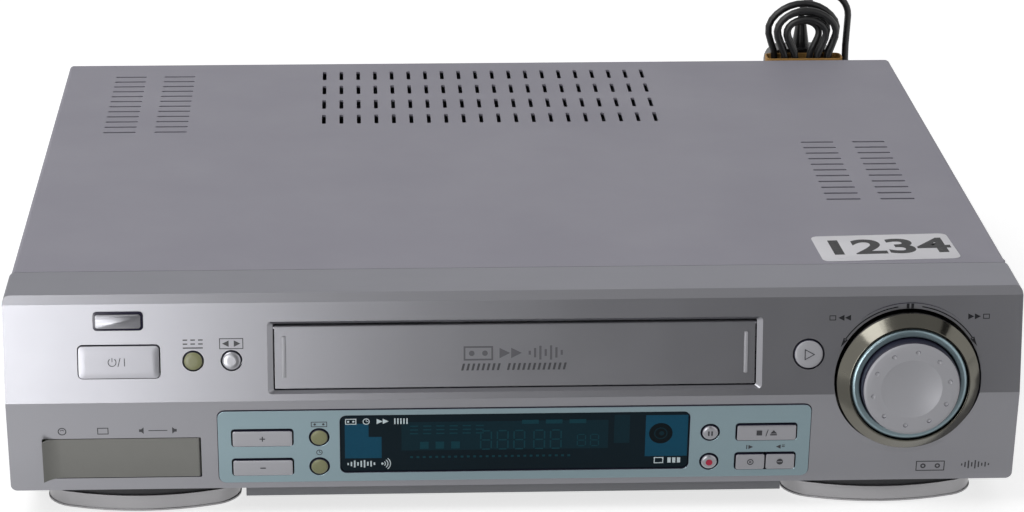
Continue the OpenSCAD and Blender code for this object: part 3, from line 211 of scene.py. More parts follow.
def grained(name, colour, other, patch_mm, grain_mm, depth_mm, rough, swing=0.05, **sockets):
    """A moulded, cast or painted skin: two close colours in soft patches over a fine grain."""
    material, tree, shader, where = blank(name, **sockets)
    patches = add(tree, "TexNoise", {"Vector": (where, "Object"), "Scale": 1 / (patch_mm * MM),
                                     "Detail": 4.0, "Roughness": 0.6})
    tint = add(tree, "Mix", {"Factor": (patches, "Fac"), 6: linear(colour), 7: linear(other)},
               data_type="RGBA")
    grain = add(tree, "TexNoise", {"Vector": (where, "Object"), "Scale": 1 / (grain_mm * MM),
                                   "Detail": 2.0})
    gloss = add(tree, "MapRange", {"Value": (patches, "Fac"), "From Min": 0.3, "From Max": 0.7,
                                   "To Min": rough - swing, "To Max": rough + swing})
    bump = add(tree, "Bump", {"Height": (grain, "Fac"), "Distance": depth_mm * MM,
                              "Strength": 0.6})
    tree.links.new(tint.outputs[2], shader.inputs["Base Color"])
    tree.links.new(gloss.outputs["Result"], shader.inputs["Roughness"])
    tree.links.new(bump.outputs["Normal"], shader.inputs["Normal"])
    return material


CLOUDS = 60.0  # how many of a metal's faint clouds lie in a metre
STREAK_STRETCH = 40  # how many times longer than wide its streaks are


def metal(name, colour, other, streak_mm, along, rough, depth_mm=0.004):
    """Bare or plated metal: fine streaks drawn out along one axis, left by rolling or turning."""
    material, tree, shader, where = blank(name, Metallic=1.0)
    scale = [1 / (streak_mm * MM)] * 3
    scale[along] /= STREAK_STRETCH
    stretched = add(tree, "Mapping", {"Vector": (where, "Object"), "Scale": scale})
    streaks = add(tree, "TexNoise", {"Vector": (stretched, "Vector"), "Scale": 1.0,
                                     "Detail": 3.0})
    clouds = add(tree, "TexNoise", {"Vector": (where, "Object"), "Scale": CLOUDS, "Detail": 3.0})
    tint = add(tree, "Mix", {"Factor": (clouds, "Fac"), 6: linear(colour), 7: linear(other)},
               data_type="RGBA")
    gloss = add(tree, "MapRange", {"Value": (streaks, "Fac"), "From Min": 0.3, "From Max": 0.7,
                                   "To Min": rough * 0.7, "To Max": rough * 1.3})
    bump = add(tree, "Bump", {"Height": (streaks, "Fac"), "Distance": depth_mm * MM,
                              "Strength": 0.5})
    tree.links.new(tint.outputs[2], shader.inputs["Base Color"])
    tree.links.new(gloss.outputs["Result"], shader.inputs["Roughness"])
    tree.links.new(bump.outputs["Normal"], shader.inputs["Normal"])
    return material


# Sheet steel under a textured grey-lilac enamel: matt, with a fine orange-peel grain
cover_enamel = grained("textured_grey_enamel", "#8f8d98", "#8d8b96", 60, 0.9, 0.05, 0.58,
                       IOR=1.5)
# ABS sprayed with fine aluminium flake: silvery, soft highlights that follow the softbox. Here,
# in the other silvers and in the teal lacquer, real flake is too fine to show, so its grain is
# drawn as coarse as 2 mm and more
silver_spray = grained("silver_flake_sprayed_ABS", "#99999e", "#95959a", 30, 2.4, 0.003,
                       0.295, 0.012, Metallic=0.85, IOR=1.5, **{"Specular Tint": linear("#b6b6bb")})
# A paler silver on the small keys, a little glossier, as under a clear coat
key_silver = grained("clear_coated_silver_ABS", "#a6a6ab", "#a1a1a6", 20, 2.0, 0.002, 0.29, 0.01,
                     Metallic=0.8, IOR=1.5)
# A darker copy of the key silver on the power key: painted shade that offsets the brightest light,
# which it faces
power_key_shaded_silver = grained("power_key_silver_with_painted_shade", "#929297", "#8e8e93", 20, 2.0, 0.002,
                       0.29, 0.01, Metallic=0.8, IOR=1.5)
# Silver lacquer on the front feet, bright along their curved lip
foot_silver = grained("lacquered_silver_foot_plastic", "#a3a2a4", "#9b9a9c", 25, 2.4, 0.003,
                      0.3, 0.02, Metallic=0.8, IOR=1.5)
# ABS with a pale blue-green metallic lacquer, cooler than the silver
teal_lacquer = grained("pale_teal_metallic_lacquer", "#91a5ac", "#8ca0a7", 25, 2.4, 0.003,
                       0.29, 0.01, Metallic=0.85, IOR=1.5)
# Satin olive-green ABS of the round keys
olive_abs = grained("satin_olive_ABS", "#828360", "#7b7c59", 12, 0.4, 0.01, 0.36, IOR=1.5)
# Soft-touch grey ABS of the socket flap
flap_abs = grained("soft_matt_grey_ABS", "#7b7b77", "#757571", 20, 0.5, 0.02, 0.5, IOR=1.5)
# The jog dial and play key: a paler silver with less flake, which takes the light more evenly
dial_silver = grained("fine_silver_sprayed_ABS", "#a2a2a7", "#9c9ca1", 18, 2.0, 0.002, 0.46, 0.01,
                      Metallic=0.15, IOR=1.5)
# Flanks of keys and walls of their holes: dark violet ABS where the silver spray misses, and
# painted shade for the shadow in the gaps round the keys and plates
bare_moulding_and_gap_shade = grained("dark_violet_ABS_and_painted_gap_shade", "#17152a", "#1d1b30", 8, 0.4, 0.01, 0.5,
                        IOR=1.53)
# Badge: deep, glossy violet-black lacquer round a bar with satin plating
badge_lacquer = grained("violet_black_badge_lacquer", "#2a2838", "#252333", 4, 0.3, 0.003, 0.22,
                        IOR=1.5)
badge_chrome = metal("satin_plated_badge", "#9b9ba0", "#939398", 0.3, 0, 0.36, 0.001)
# White vinyl label, cool and satin, with a faint wave from the hand that stuck it on
label_vinyl = grained("white_vinyl_label", "#dcdbe0", "#d6d5da", 14, 3, 0.02, 0.42, IOR=1.5)
# A darker grey on the panel's skirt between the feet: painted shade, for the shadow under the panel
# that the skirt sits in
skirt_shade_grey = grained("grey_ABS_with_painted_skirt_shade", "#7a7b7f", "#76777b", 30, 0.5, 0.02, 0.55,
                     IOR=1.5)
# Black moulded ABS and PBT, spark-eroded to a dull grain
black_abs = grained("spark_eroded_black_ABS", "#1c1c1e", "#242427", 15, 0.35, 0.03, 0.5,
                    IOR=1.53)
# Dark grey base moulding, coarser in grain and dusty, and darker still: painted shade for the
# shadowed gap under the panel where it shows
base_abs_and_shade = grained("dark_grey_base_polystyrene_with_painted_shade", "#242427", "#2b2b2e", 30, 0.6, 0.05, 0.6,
                   IOR=1.55)
# Natural rubber of foot pads and rollers: dull, slightly bloomed
rubber = grained("bloomed_black_rubber", "#1b1b1b", "#262625", 8, 0.3, 0.03, 0.75, IOR=1.52)
# Plasticised vinyl of lead and plug: satin black
vinyl = grained("satin_black_vinyl", "#151516", "#1b1b1c", 10, 0.5, 0.02, 0.36, IOR=1.53)
# Paper-covered tan tie, fibrous and dull
tie_paper = grained("tan_kraft_paper_tie", "#bd9150", "#a57a3d", 3, 0.25, 0.05, 0.7, IOR=1.5)
# White moulded acetal of the deck's small gears, guides and slides
acetal = grained("white_moulded_acetal", "#dcdad2", "#d2d0c8", 12, 0.4, 0.02, 0.42, IOR=1.48)
# Phenolic and epoxy boards under green lacquer: mottled and slightly glossy
board_lacquer = grained("green_lacquered_circuit_board", "#4d5b36", "#3f4d2c", 6, 0.8, 0.03,
                        0.4, IOR=1.5)
# Sintered ferrite core, dark and dusty
ferrite = grained("sintered_ferrite", "#35302c", "#2a2623", 8, 0.4, 0.04, 0.65, IOR=2.0)
# PVC shrink sleeve on the capacitors: glossy dark blue
shrink_sleeve = grained("dark_blue_shrink_sleeve", "#22303f", "#1d2a37", 10, 0.6, 0.02, 0.25,
                        IOR=1.52)
# Zinc-plated sheet steel: cool, faintly rolled
zinc_steel = metal("zinc_plated_steel", "#a9acb2", "#9b9ea5", 0.4, 0, 0.34)
# Blackened screw heads: dark, with a dull glint
screw_steel = metal("blackened_screw_steel", "#3f3f42", "#343437", 0.3, 0, 0.4)
# Dark chrome on the dial's trim ring: warm, near mirror
trim_chrome = metal("dark_chrome_plating", "#6c6a62", "#64625b", 0.3, 0, 0.14, 0.001)
# Turned aluminium of drum and capstan: bright, with fine upright streaks
turned_aluminium = metal("turned_aluminium", "#c9cacd", "#bebfc3", 0.25, 2, 0.22)


def inked(name, colour, other, rough=0.45, **sockets):
    """Screen-printed ink: thin, even, slightly broken by the skin under it."""
    return grained(name, colour, other, 1.2, 0.15, 0.003, rough, **sockets)


# Black to dim grey prints: flat and a little dull against the silver's shine
black_ink = inked("black_screen_print_ink", "#17171b", "#1d1d22", 0.5,
                  **{"Specular IOR Level": 0.25})
grey_ink = inked("grey_screen_print_ink", "#2c2c31", "#35353a")
dim_ink = inked("dim_grey_screen_print_ink", "#4e4e53", "#55555a")
# A cool white print on the window, and a clear red dot on its key
white_ink = inked("white_screen_print_ink", "#c9d6da", "#bccbd0")
red_ink = inked("red_screen_print_ink", "#b01c3c", "#a41838")
# Prints on the window with hardly a shine of their own, which look as if the acrylic covered them
DIM = {"Specular IOR Level": 0.1}
eye_ink = inked("near_black_filter_print", "#061319", "#051015", 0.1, **DIM)
blue_filter = inked("blue_display_filter_print", "#134a62", "#10435a", 0.12, **DIM)
ghost_phosphor = inked("unlit_phosphor_segments", "#123f4a", "#0e353f", 0.15, **DIM)
deep_filter = inked("deep_green_display_filter", "#0d2a34", "#0a242d", 0.12, **DIM)


def smoked_acrylic():
    """Polished acrylic, smoked to a blue-green near-black: dark, clear gloss, faint tint."""
    material, tree, shader, where = blank("smoked_blue_green_acrylic", Roughness=0.08, IOR=1.49,
                                        **{"Specular IOR Level": 0.12})
    wipes = add(tree, "TexNoise", {"Vector": (where, "Object"), "Scale": 1 / (30 * MM),
                                   "Detail": 3.0})
    tint = add(tree, "Mix", {"Factor": (wipes, "Fac"), 6: linear("#05171f"),
                             7: linear("#071b24")}, data_type="RGBA")
    tree.links.new(tint.outputs[2], shader.inputs["Base Color"])
    return material


window_acrylic = smoked_acrylic()
# Glass of the display tube: near black and clear in its gloss, seen only with the cover off
tube_glass = grained("dark_display_glass", "#18201f", "#111817", 10, 2, 0.002, 0.1, IOR=1.52)

FINISH = {
    "painted_cover": cover_enamel, "screw_steel": screw_steel, "silver_plastic": silver_spray,
    "foot_plastic": foot_silver, "pale_teal_plastic": teal_lacquer, "olive_plastic": olive_abs,
    "flap_plastic": flap_abs, "smoked_window": window_acrylic, "tube_glass": tube_glass,
    "trim_chrome": trim_chrome, "black_plastic": black_abs, "black_rubber": rubber,
    "cord_vinyl": vinyl, "tie_paper": tie_paper, "base_plastic": base_abs_and_shade,
    "zinc_steel": zinc_steel, "board": board_lacquer, "ferrite": ferrite,
    "capacitor_sleeve": shrink_sleeve, "white_plastic": acetal,
    "turned_aluminium": turned_aluminium,
}
# Pieces whose finish is a shade off the others of their slot
OWN_FINISH = {
    "jog_dial": dial_silver, "play_button": dial_silver, "power_button": power_key_shaded_silver,
    "speed_button": key_silver, "channel_up_button": key_silver,
    "channel_down_button": key_silver, "pause_button": key_silver,
    "record_button": key_silver, "stop_button": key_silver, "insert_button": key_silver,
    "dub_button": key_silver,
}
slot_of = {part["node"]: part["material_slot"] for part in frame["record"]["subparts"]}


def finish_of(node):
    return OWN_FINISH.get(node, FINISH[slot_of[node]])


for name, node in frame["nodes"].items():
    node.data.materials.clear()
    node.data.materials.append(finish_of(name))
    for face in node.data.polygons:
        face.material_index = 0


def select_where(piece, wanted, domain="EDGE"):
    """Selects the edges or faces that a test on them picks, and leaves the piece in edit mode."""
    alone(piece)
    bpy.ops.object.mode_set(mode="EDIT")
    bpy.context.tool_settings.mesh_select_mode = (False, domain == "EDGE", domain == "FACE")
    bpy.ops.mesh.select_all(action="DESELECT")
    bpy.ops.object.mode_set(mode="OBJECT")
    mesh = piece.data
    found = mesh.edges if domain == "EDGE" else mesh.polygons
    for part in found:
        part.select = wanted(mesh, part)
    bpy.ops.object.mode_set(mode="EDIT")


def edge_ends(mesh, edge):
    return [mesh.vertices[i].co / MM for i in edge.vertices]


# Moulded and pressed pieces: welded copies of the CAD nodes, with the rounds that a mould leaves
def welded(node):
    """A copy of a CAD node, free of its marks, with its triangles merged into clean faces."""
    alone(frame["nodes"][node])
    bpy.ops.object.duplicate()
    piece = bpy.context.object
    piece.parent = None
    piece.matrix_world = Matrix.Identity(4)
    for mark in list(piece.keys()):
        del piece[mark]
    bpy.ops.object.mode_set(mode="EDIT")
    bpy.ops.mesh.select_all(action="SELECT")
    bpy.ops.mesh.remove_doubles(threshold=0.002 * MM)
    bpy.ops.mesh.customdata_custom_splitnormals_clear()
    bpy.ops.mesh.mark_sharp(clear=True)
    bpy.ops.mesh.dissolve_limited(angle_limit=radians(0.4))
    bpy.ops.object.mode_set(mode="OBJECT")
    return piece


def finished(piece, node, name):
    """Smooths a shaped copy between its broad faces; it then stands for its CAD node."""
    smooth(piece)
    modified(piece, "WEIGHTED_NORMAL", mode="FACE_AREA", weight=100, keep_sharp=True)
    return dressed(piece, name, finish_of(node), frame["nodes"][node]["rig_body"], slot_of[node],
                   node)


def rounded(node, width_mm, angle=30):
    """A welded copy with the edges rounded that are sharper than the angle, in degrees."""
    return modified(welded(node), "BEVEL", width=width_mm * MM, segments=3,
                    limit_method="ANGLE", angle_limit=radians(angle), use_clamp_overlap=True,
                    miter_outer="MITER_ARC")


def front_of(z):
    """The way that the panel's face looks at this height."""
    tilt = UPPER_TILT if z > CREASE_Z else LOWER_TILT
    return Vector((0, -cos(tilt), -sin(tilt)))


def bare_and_gap_shaded(piece, reach, inside=None):
    """Paints the faces dark that turn too far from the front: uncoated dark ABS, and painted shade
    of the gaps; reach is the cosine of how far.
    """
    piece.data.materials.append(bare_moulding_and_gap_shade)
    dark_slot = len(piece.data.materials) - 1
    for face in piece.data.polygons:
        at = face.center / MM
        if face.normal.dot(front_of(at.z)) < reach and (inside is None or inside(at)):
            face.material_index = dark_slot


def swollen_key(node, width_mm, ring_mm):
    """A key with rounded edges, whose face swells towards its middle, over dark flanks: uncoated
    ABS with painted shade of the gap.
    """
    piece = rounded(node, width_mm)
    front = front_of(piece.data.vertices[0].co.z / MM)
    broad = max((face for face in piece.data.polygons if face.normal.dot(front) > 0.99),
                key=lambda face: face.center.dot(front))
    rim = [piece.data.vertices[i].co for i in broad.vertices]
    wide, high = (max(co[axis] for co in rim) - min(co[axis] for co in rim) for axis in (0, 2))
    middle, chosen = broad.center.copy(), broad.index
    select_where(piece, lambda mesh, face: face.index == chosen, "FACE")
    drawn_in = 2 * ring_mm * MM
    for swell in SWELLS:
        bpy.ops.mesh.extrude_region_move(TRANSFORM_OT_translate={"value": front * swell * MM})
        upright = 1 - drawn_in / high
        bpy.ops.transform.resize(value=(1 - drawn_in / wide, upright, upright),
                                 center_override=middle)
        wide, high = wide - drawn_in, high - drawn_in
    bpy.ops.object.mode_set(mode="OBJECT")
    bare_and_gap_shaded(finished(piece, node, node + "_rounded"), 0.75)


# Pieces with rounded edges: how wide, and from what angle on
SOFTENED = {
    "front_panel": (0.35, 13), "display_bezel": (0.4, 30), "cassette_door": (0.3, 30),
    "socket_flap": (0.4, 30), "front_feet": (0.5, 30), "dial_trim_ring": (0.15, 30),
    "shuttle_ring": (0.6, 50), "display_window": (0.2, 30), "mains_plug": (1.2, 30),
    "cord_tie": (0.25, 30), "chassis_base": (0.4, 30),
}
for node, (width, angle) in SOFTENED.items():
    finished(rounded(node, width, angle), node, node + "_rounded")

# Keys: the width of their rounded edge, and how far in each ring of their swelling face lies
KEYS = {
    "power_button": (0.7, 1.4), "filter_button": (0.3, 0.55), "speed_button": (0.3, 0.55),
    "play_button": (0.4, 0.95), "channel_up_button": (0.5, 0.55),
    "channel_down_button": (0.5, 0.55), "format_button": (0.3, 0.6), "timer_button": (0.3, 0.6),
    "pause_button": (0.3, 0.5), "record_button": (0.3, 0.5), "stop_button": (0.5, 0.55),
    "insert_button": (0.5, 0.55), "dub_button": (0.5, 0.55),
}
SWELLS = (0.12, 0.07, 0.03)  # how far each ring rises
KEY_SWELL = sum(SWELLS)
for node, (width, ring) in KEYS.items():
    swollen_key(node, width, ring)

# The flanks of the teal plate and the walls of the holes are dark too, uncoated ABS and painted
# shade of the gaps, but the panel's outer flanks, beyond RIM_X and RIM_Z, are sprayed. Round the
# power key the hole's edge is dark as well, as painted shade of its gap
RIM_X, RIM_Z = 192, (16, 89)
POWER_REACH = (20, 8)
bare_and_gap_shaded(bpy.data.objects["display_bezel_rounded"], 0.8)
panel = bpy.data.objects["front_panel_rounded"]
bare_and_gap_shaded(panel, 0.3, lambda at: abs(at.x) < RIM_X and RIM_Z[0] < at.z < RIM_Z[1])
bare_and_gap_shaded(panel, 0.8, lambda at: (abs(at.x - POWER_AT[0]) < POWER_REACH[0]
                                  and abs(at.z - POWER_AT[1]) < POWER_REACH[1]))
# The jog dial keeps a crisp rim round its dish, and a dark flank: uncoated ABS and painted shade of
# the gap round it
dial = smooth(welded("jog_dial"))
select_where(dial, lambda mesh, edge: all(
    abs((at.xz - Vector(DIAL_AT)).length - DISH_R) < 0.1 and at.y < CREASE_Y - 5
    for at in edge_ends(mesh, edge)))
bpy.ops.mesh.mark_sharp()
bpy.ops.object.mode_set(mode="OBJECT")
dressed(dial, "jog_dial_smooth", finish_of("jog_dial"), "jog_dial", slot_of["jog_dial"],
        "jog_dial")
bare_and_gap_shaded(dial, 0.65, lambda at: (at.xz - Vector(DIAL_AT)).length > DIAL_FACE_R)

# The panel's low skirt between the feet takes the darker grey: painted shade
panel.data.materials.append(skirt_shade_grey)
for face in panel.data.polygons:
    if face.center.z < SKIRT_TOP * MM:
        face.material_index = len(panel.data.materials) - 1


def slab(w, h, thick, corner, edge, place):
    """A rounded plate, sizes in millimetres: X and Z along it, its back at the place's Y=0."""
    clear()
    bpy.ops.mesh.primitive_cube_add(size=1)
    piece = bpy.context.object
    piece.matrix_world = (Matrix.Translation((0, -thick / 2 * MM, 0))
                          @ Matrix.Diagonal((w * MM, thick * MM, h * MM, 1)))
    settle(piece)
    select_where(piece, lambda mesh, e: abs(mesh.vertices[e.vertices[0]].co.y
                                            - mesh.vertices[e.vertices[1]].co.y) > 1e-6)
    bpy.ops.mesh.bevel(offset=corner * MM, segments=6, affect="EDGES")
    bpy.ops.object.mode_set(mode="OBJECT")
    modified(piece, "BEVEL", width=edge * MM, segments=2, limit_method="ANGLE",
             angle_limit=radians(40))
    smooth(piece)
    return settle(piece, place)


def on_bend(x, z):
    """A test for the long edges of the cover's bends, which run back at this X and height."""
    def wanted(mesh, edge):
        a, b = edge_ends(mesh, edge)
        return abs(a.y - b.y) > 100 and all(abs(abs(p.x) - x) < 0.1 and abs(p.z - z) < 0.1
                                            for p in (a, b))
    return wanted


def at_slot_corner(mesh, edge):
    """A test for the upright edges at the ends of the slots and slits in the cover's top."""
    a, b = edge_ends(mesh, edge)
    return (abs(a.x - b.x) + abs(a.y - b.y) < 0.01 and abs(a.z - b.z) < 1.5 * SHEET
            and min(a.z, b.z) > BODY_H - 1.5 * SHEET
            and abs(a.x) < SLOTS_X and SLOTS_Y[0] < a.y < SLOTS_Y[1])


# The cover is one folded steel sheet: round bends, and punched slots with round ends
COVER_X, SHEET = 199.2, 1.0
SLOTS_X, SLOTS_Y = 190, (-130, 165)
cover = welded("top_cover")
for test, offset, segments in ((at_slot_corner, 0.8, 3), (on_bend(COVER_X, BODY_H), 1.9, 5),
                               (on_bend(COVER_X - SHEET, BODY_H - SHEET), 0.9, 4)):
    select_where(cover, test)
    bpy.ops.mesh.bevel(offset=offset * MM, segments=segments, affect="EDGES")
    bpy.ops.object.mode_set(mode="OBJECT")
finished(cover, "top_cover", "top_cover_folded")

# A blank badge over the power key: a dark plate with a raised silver bar
badge_plate = slab(19.6, 7.6, 0.5, 1.6, 0.12, on_upper(*BADGE_AT))
dressed(badge_plate, "badge_plate", badge_lacquer, "chassis", "silver_plastic")
badge_bar = slab(17.6, 5.6, 0.8, 1.0, 0.2, on_upper(*BADGE_AT, 0.3))
dressed(badge_bar, "badge_bar", badge_chrome, "chassis", "silver_plastic")

# A vinyl price label on the cover, slightly turned, with a plain number in broad type
LABEL_X, LABEL_Y, LABEL_TURN = 153.0, CREASE_Y + 54.8, 2.6
NUMBER_W, NUMBER_H, NUMBER_UP = 49.0, 18.6, 0.17
label_place = (Matrix.Translation((LABEL_X * MM, LABEL_Y * MM, BODY_H * MM))
               @ Matrix.Rotation(radians(LABEL_TURN), 4, "Z"))
label = slab(56.4, 31.6, 0.15, 3.2, 0.04, label_place @ Matrix.Rotation(-pi / 2, 4, "X"))
dressed(label, "price_label", label_vinyl, "chassis", "painted_cover")
bpy.ops.object.text_add()
digits = bpy.context.object
digits.data.body = "1234"
digits.data.align_x, digits.data.align_y = "CENTER", "CENTER"
digits.data.size = 1.0
digits.data.offset = 0.028  # makes the strokes broader
digits = as_mesh(digits)
wide, high = NUMBER_W * MM / digits.dimensions.x, NUMBER_H * MM / digits.dimensions.y
digits.matrix_world = (label_place @ Matrix.Translation((0, 0, NUMBER_UP * MM))
                       @ Matrix.Diagonal((wide, high, 1, 1)))
settle(digits)
dressed(digits, "price_label_number", black_ink, "chassis", "painted_cover")


# Flat prints: closed outlines in millimetres, filled, a hair thick, laid on a face
def disc_outline(x, z, r, n=28):
    return [(x + r * cos(2 * pi * i / n), z + r * sin(2 * pi * i / n)) for i in range(n)]


def box_outline(x, z, w, h):
    return [(x - w / 2, z - h / 2), (x + w / 2, z - h / 2), (x + w / 2, z + h / 2),
            (x - w / 2, z + h / 2)]


def frame_outline(x, z, w, h, line):
    """A box with a smaller one in it, which is left open."""
    return [box_outline(x, z, w, h), box_outline(x, z, w - 2 * line, h - 2 * line)]


def arc_outline(x, z, r, line, start, end, n=24):
    """A stroke along an arc; angles in degrees, clockwise from straight up."""
    steps = [radians(start + (end - start) * i / n) for i in range(n + 1)]
    outer = [(x + (r + line / 2) * sin(a), z + (r + line / 2) * cos(a)) for a in steps]
    inner = [(x + (r - line / 2) * sin(a), z + (r - line / 2) * cos(a)) for a in steps]
    return outer + inner[::-1]


def arrow_outline(x, z, size, point=1):
    """A solid triangle that points to the right, or to the left with point=-1."""
    return [(x - point * size / 2, z - size / 2), (x + point * size / 2, z),
            (x - point * size / 2, z + size / 2)]


def print_mesh(outlines, place):
    """The outlines, drawn in the place's X and Z, as one mesh."""
    line = bpy.data.curves.new("print", "CURVE")
    line.dimensions = "2D"
    line.fill_mode = "BOTH"
    line.extrude = INK / 2 * MM
    for outline in outlines:
        spline = line.splines.new("POLY")
        spline.points.add(len(outline) - 1)
        for point, (x, z) in zip(spline.points, outline):
            point.co = (x * MM, z * MM, 0, 1)
        spline.use_cyclic_u = True
    piece = bpy.data.objects.new("print", line)
    bpy.context.scene.collection.objects.link(piece)
    return settle(as_mesh(piece), place @ Matrix.Rotation(pi / 2, 4, "X"))


def printed(name, material, body, slot, *parts):
    """One printed piece from several (outlines, place) pairs."""
    meshes = [print_mesh(outlines, place) for outlines, place in parts]
    dressed(joined(meshes), name, material, body, slot)


INK = 0.03  # how thick a print is
SKIN = 0.02  # how far its middle stands off the face that carries it

# Marks over the small keys on the panel's upper face
MARKS_Z = 76.4
upper_marks = []
for x in (-129.3, -126.3, -123.3):
    upper_marks.append(box_outline(x, 0, 1.8, 0.5))
    upper_marks.append(box_outline(x, -1.6, 1.8, 0.5))
upper_marks.append(box_outline(-126.3, -3.2, 7.8, 0.5))
for x, turn in ((-113.6, -1), (-109.0, 1)):
    upper_marks.append(arrow_outline(x, -1.6, 2.6, turn))
upper_marks += frame_outline(-111.3, -1.6, 9.4, 4.4, 0.35)
printed("panel_upper_marks", grey_ink, "chassis", "silver_plastic",
        (upper_marks, on_upper(0, MARKS_Z, SKIN)))

# Round the dial: two arcs with arrow heads and pause bars, which lie on the upright boss where
# that stands before the face, and winding marks at both sides
BOSS_Y = -166.8
ARC_R, ARC_STARTS, BOSS_ENDS, ARC_ENDS = 30.3, 9, 40.3, 57  # angles from straight up
PAUSE_Z, WINDING_Z = 87.2 - MARKS_Z, 82.5 - MARKS_Z
dial_x, arc_z = DIAL_AT[0], DIAL_AT[1] - MARKS_Z
boss_marks = [box_outline(dial_x + dx, PAUSE_Z, 1.1, 2.0) for dx in (-0.9, 0.9)]
face_marks = []
for side in (-1, 1):
    boss_marks.append(arc_outline(dial_x, arc_z, ARC_R, 0.5, ARC_STARTS * side,
                                  BOSS_ENDS * side))
    face_marks.append(arc_outline(dial_x, arc_z, ARC_R, 0.5, BOSS_ENDS * side,
                                  ARC_ENDS * side))
    tip = radians(ARC_ENDS * side)
    face_marks.append([(dial_x + ARC_R * sin(tip + side * d / ARC_R) + n * sin(tip),
                        arc_z + ARC_R * cos(tip + side * d / ARC_R) + n * cos(tip))
                       for d, n in ((3.4, 0), (-0.6, 0.9), (-0.6, -0.9))])
    for reach in (24.4, 27.0):
        face_marks.append(arrow_outline(dial_x + side * reach, WINDING_Z, 2.4, side))
    face_marks += frame_outline(dial_x + side * 30.4, WINDING_Z, 2.6, 2.0, 0.3)
printed("dial_marks", black_ink, "chassis", "silver_plastic",
        (face_marks, on_upper(0, MARKS_Z, SKIN)),
        (boss_marks, Matrix.Translation((0, (BOSS_Y - SKIN) * MM, MARKS_Z * MM))))

# Pictograms over the front sockets: a round multi-pin socket, a screen, and two speakers
PIN_SOCKET_X, PIN_RING_R = -178.5, 0.65
socket_marks = [disc_outline(PIN_SOCKET_X, 0, r) for r in (1.7, 1.3)]
socket_marks += [disc_outline(PIN_SOCKET_X + PIN_RING_R * cos(a), PIN_RING_R * sin(a), 0.22, 8)
                 for a in (0.6, 1.2, 1.94, 2.54)]
socket_marks += frame_outline(-162.5, 0, 4.4, 3.0, 0.35)
for x, side in ((-147.4, 1), (-134.4, -1)):
    socket_marks.append([(x - 0.9 * side, -0.6), (x - 0.1 * side, -0.6), (x + 0.9 * side, -1.5),
                         (x + 0.9 * side, 1.5), (x - 0.1 * side, 0.6), (x - 0.9 * side, 0.6)])
socket_marks.append(box_outline(-140.9, 0, 7.4, 0.35))
printed("socket_pictograms", grey_ink, "chassis", "silver_plastic",
        (socket_marks, on_lower(0, 38.9, SKIN)))

# Two small pictograms low on the right: a cassette and a sound wave
TAPE_X, HUB_X = 166.7, 2.9
corner_marks = frame_outline(TAPE_X, 0, 11.6, 4.6, 0.4)
corner_marks += [disc_outline(TAPE_X + dx, 0, r) for dx in (-HUB_X, HUB_X) for r in (1.1, 0.5)]
corner_marks += [box_outline(179.4 + 1.35 * i, 0.4, 0.55, h)
                 for i, h in enumerate((1.0, 2.4, 3.6, 2.0, 3.9, 2.6, 1.4, 2.2, 0.9))]
printed("corner_pictograms", grey_ink, "chassis", "silver_plastic",
        (corner_marks, on_lower(0, 18.4, SKIN)))

# On the teal plate: a tape and a clock over the olive keys, two arrows over the last pair
PLATE_Z = 31.0
TAPE_Z, CLOCK_Z = 41.2 - PLATE_Z, 28.4 - PLATE_Z
plate_marks = frame_outline(-ROUND_X, TAPE_Z, 6.4, 2.4, 0.3)
plate_marks += [disc_outline(-ROUND_X + dx, TAPE_Z, 0.5, 12) for dx in (-1.7, 1.7)]
plate_marks += [disc_outline(-ROUND_X, CLOCK_Z, r) for r in (1.25, 0.95)]
plate_marks += [box_outline(-ROUND_X, CLOCK_Z + 0.4, 0.25, 0.9),
                box_outline(-ROUND_X + 0.35, CLOCK_Z, 0.8, 0.25)]
plate_marks += [arrow_outline(94.0, CLOCK_Z, 1.9, 1), box_outline(92.4, CLOCK_Z, 0.4, 1.9),
                arrow_outline(105.0, CLOCK_Z, 1.9, -1)]
plate_marks += [box_outline(107.0, CLOCK_Z + dz, 1.2, 0.35) for dz in (0, 0.7)]
printed("plate_pictograms", grey_ink, "chassis", "pale_teal_plastic",
        (plate_marks, on_lower(0, PLATE_Z, PLATE_PROUD + SKIN)))


# Symbols on the keys, each riding on its own key
def key_symbol(name, key, outlines, place, ink=grey_ink):
    printed(name, ink, key, "silver_plastic", (outlines, place))


PANEL_KEY = KEY_PROUD + KEY_SWELL + SKIN
PLATE_KEY = PLATE_PROUD + PANEL_KEY
key_symbol("power_symbol", "power_button",
           [arc_outline(-2.6, 0, 1.55, 0.3, 35, 325), box_outline(-2.6, 1.0, 0.3, 1.7),
            [(-0.5, -1.8), (-0.2, -1.8), (0.7, 1.8), (0.4, 1.8)], box_outline(2.2, 0, 0.3, 3.2)],
           on_upper(*POWER_AT, PANEL_KEY))
key_symbol("play_symbol", "play_button",
           [[(-1.7, -2.3), (2.4, 0), (-1.7, 2.3)], [(-1.4, -1.75), (1.75, 0), (-1.4, 1.75)]],
           on_upper(*PLAY_AT, PANEL_KEY))
minus = box_outline(0, 0, 2.2, 0.4)
key_symbol("channel_up_symbol", "channel_up_button",
           [minus, box_outline(0, 0.66, 0.4, 0.9), box_outline(0, -0.66, 0.4, 0.9)],
           on_lower(CHANNEL_X, HIGH_ROW, PLATE_KEY))
key_symbol("channel_down_symbol", "channel_down_button", [minus],
           on_lower(CHANNEL_X, LOW_ROW, PLATE_KEY))
key_symbol("stop_eject_symbol", "stop_button",
           [box_outline(-2.9, 0, 2.2, 2.2), [(-0.4, -1.5), (-0.1, -1.5), (0.7, 1.5), (0.4, 1.5)],
            [(1.5, -0.3), (4.1, -0.3), (2.8, 1.2)], box_outline(2.8, -0.9, 2.6, 0.5)],
           on_lower(STOP_X, HIGH_ROW, PLATE_KEY))
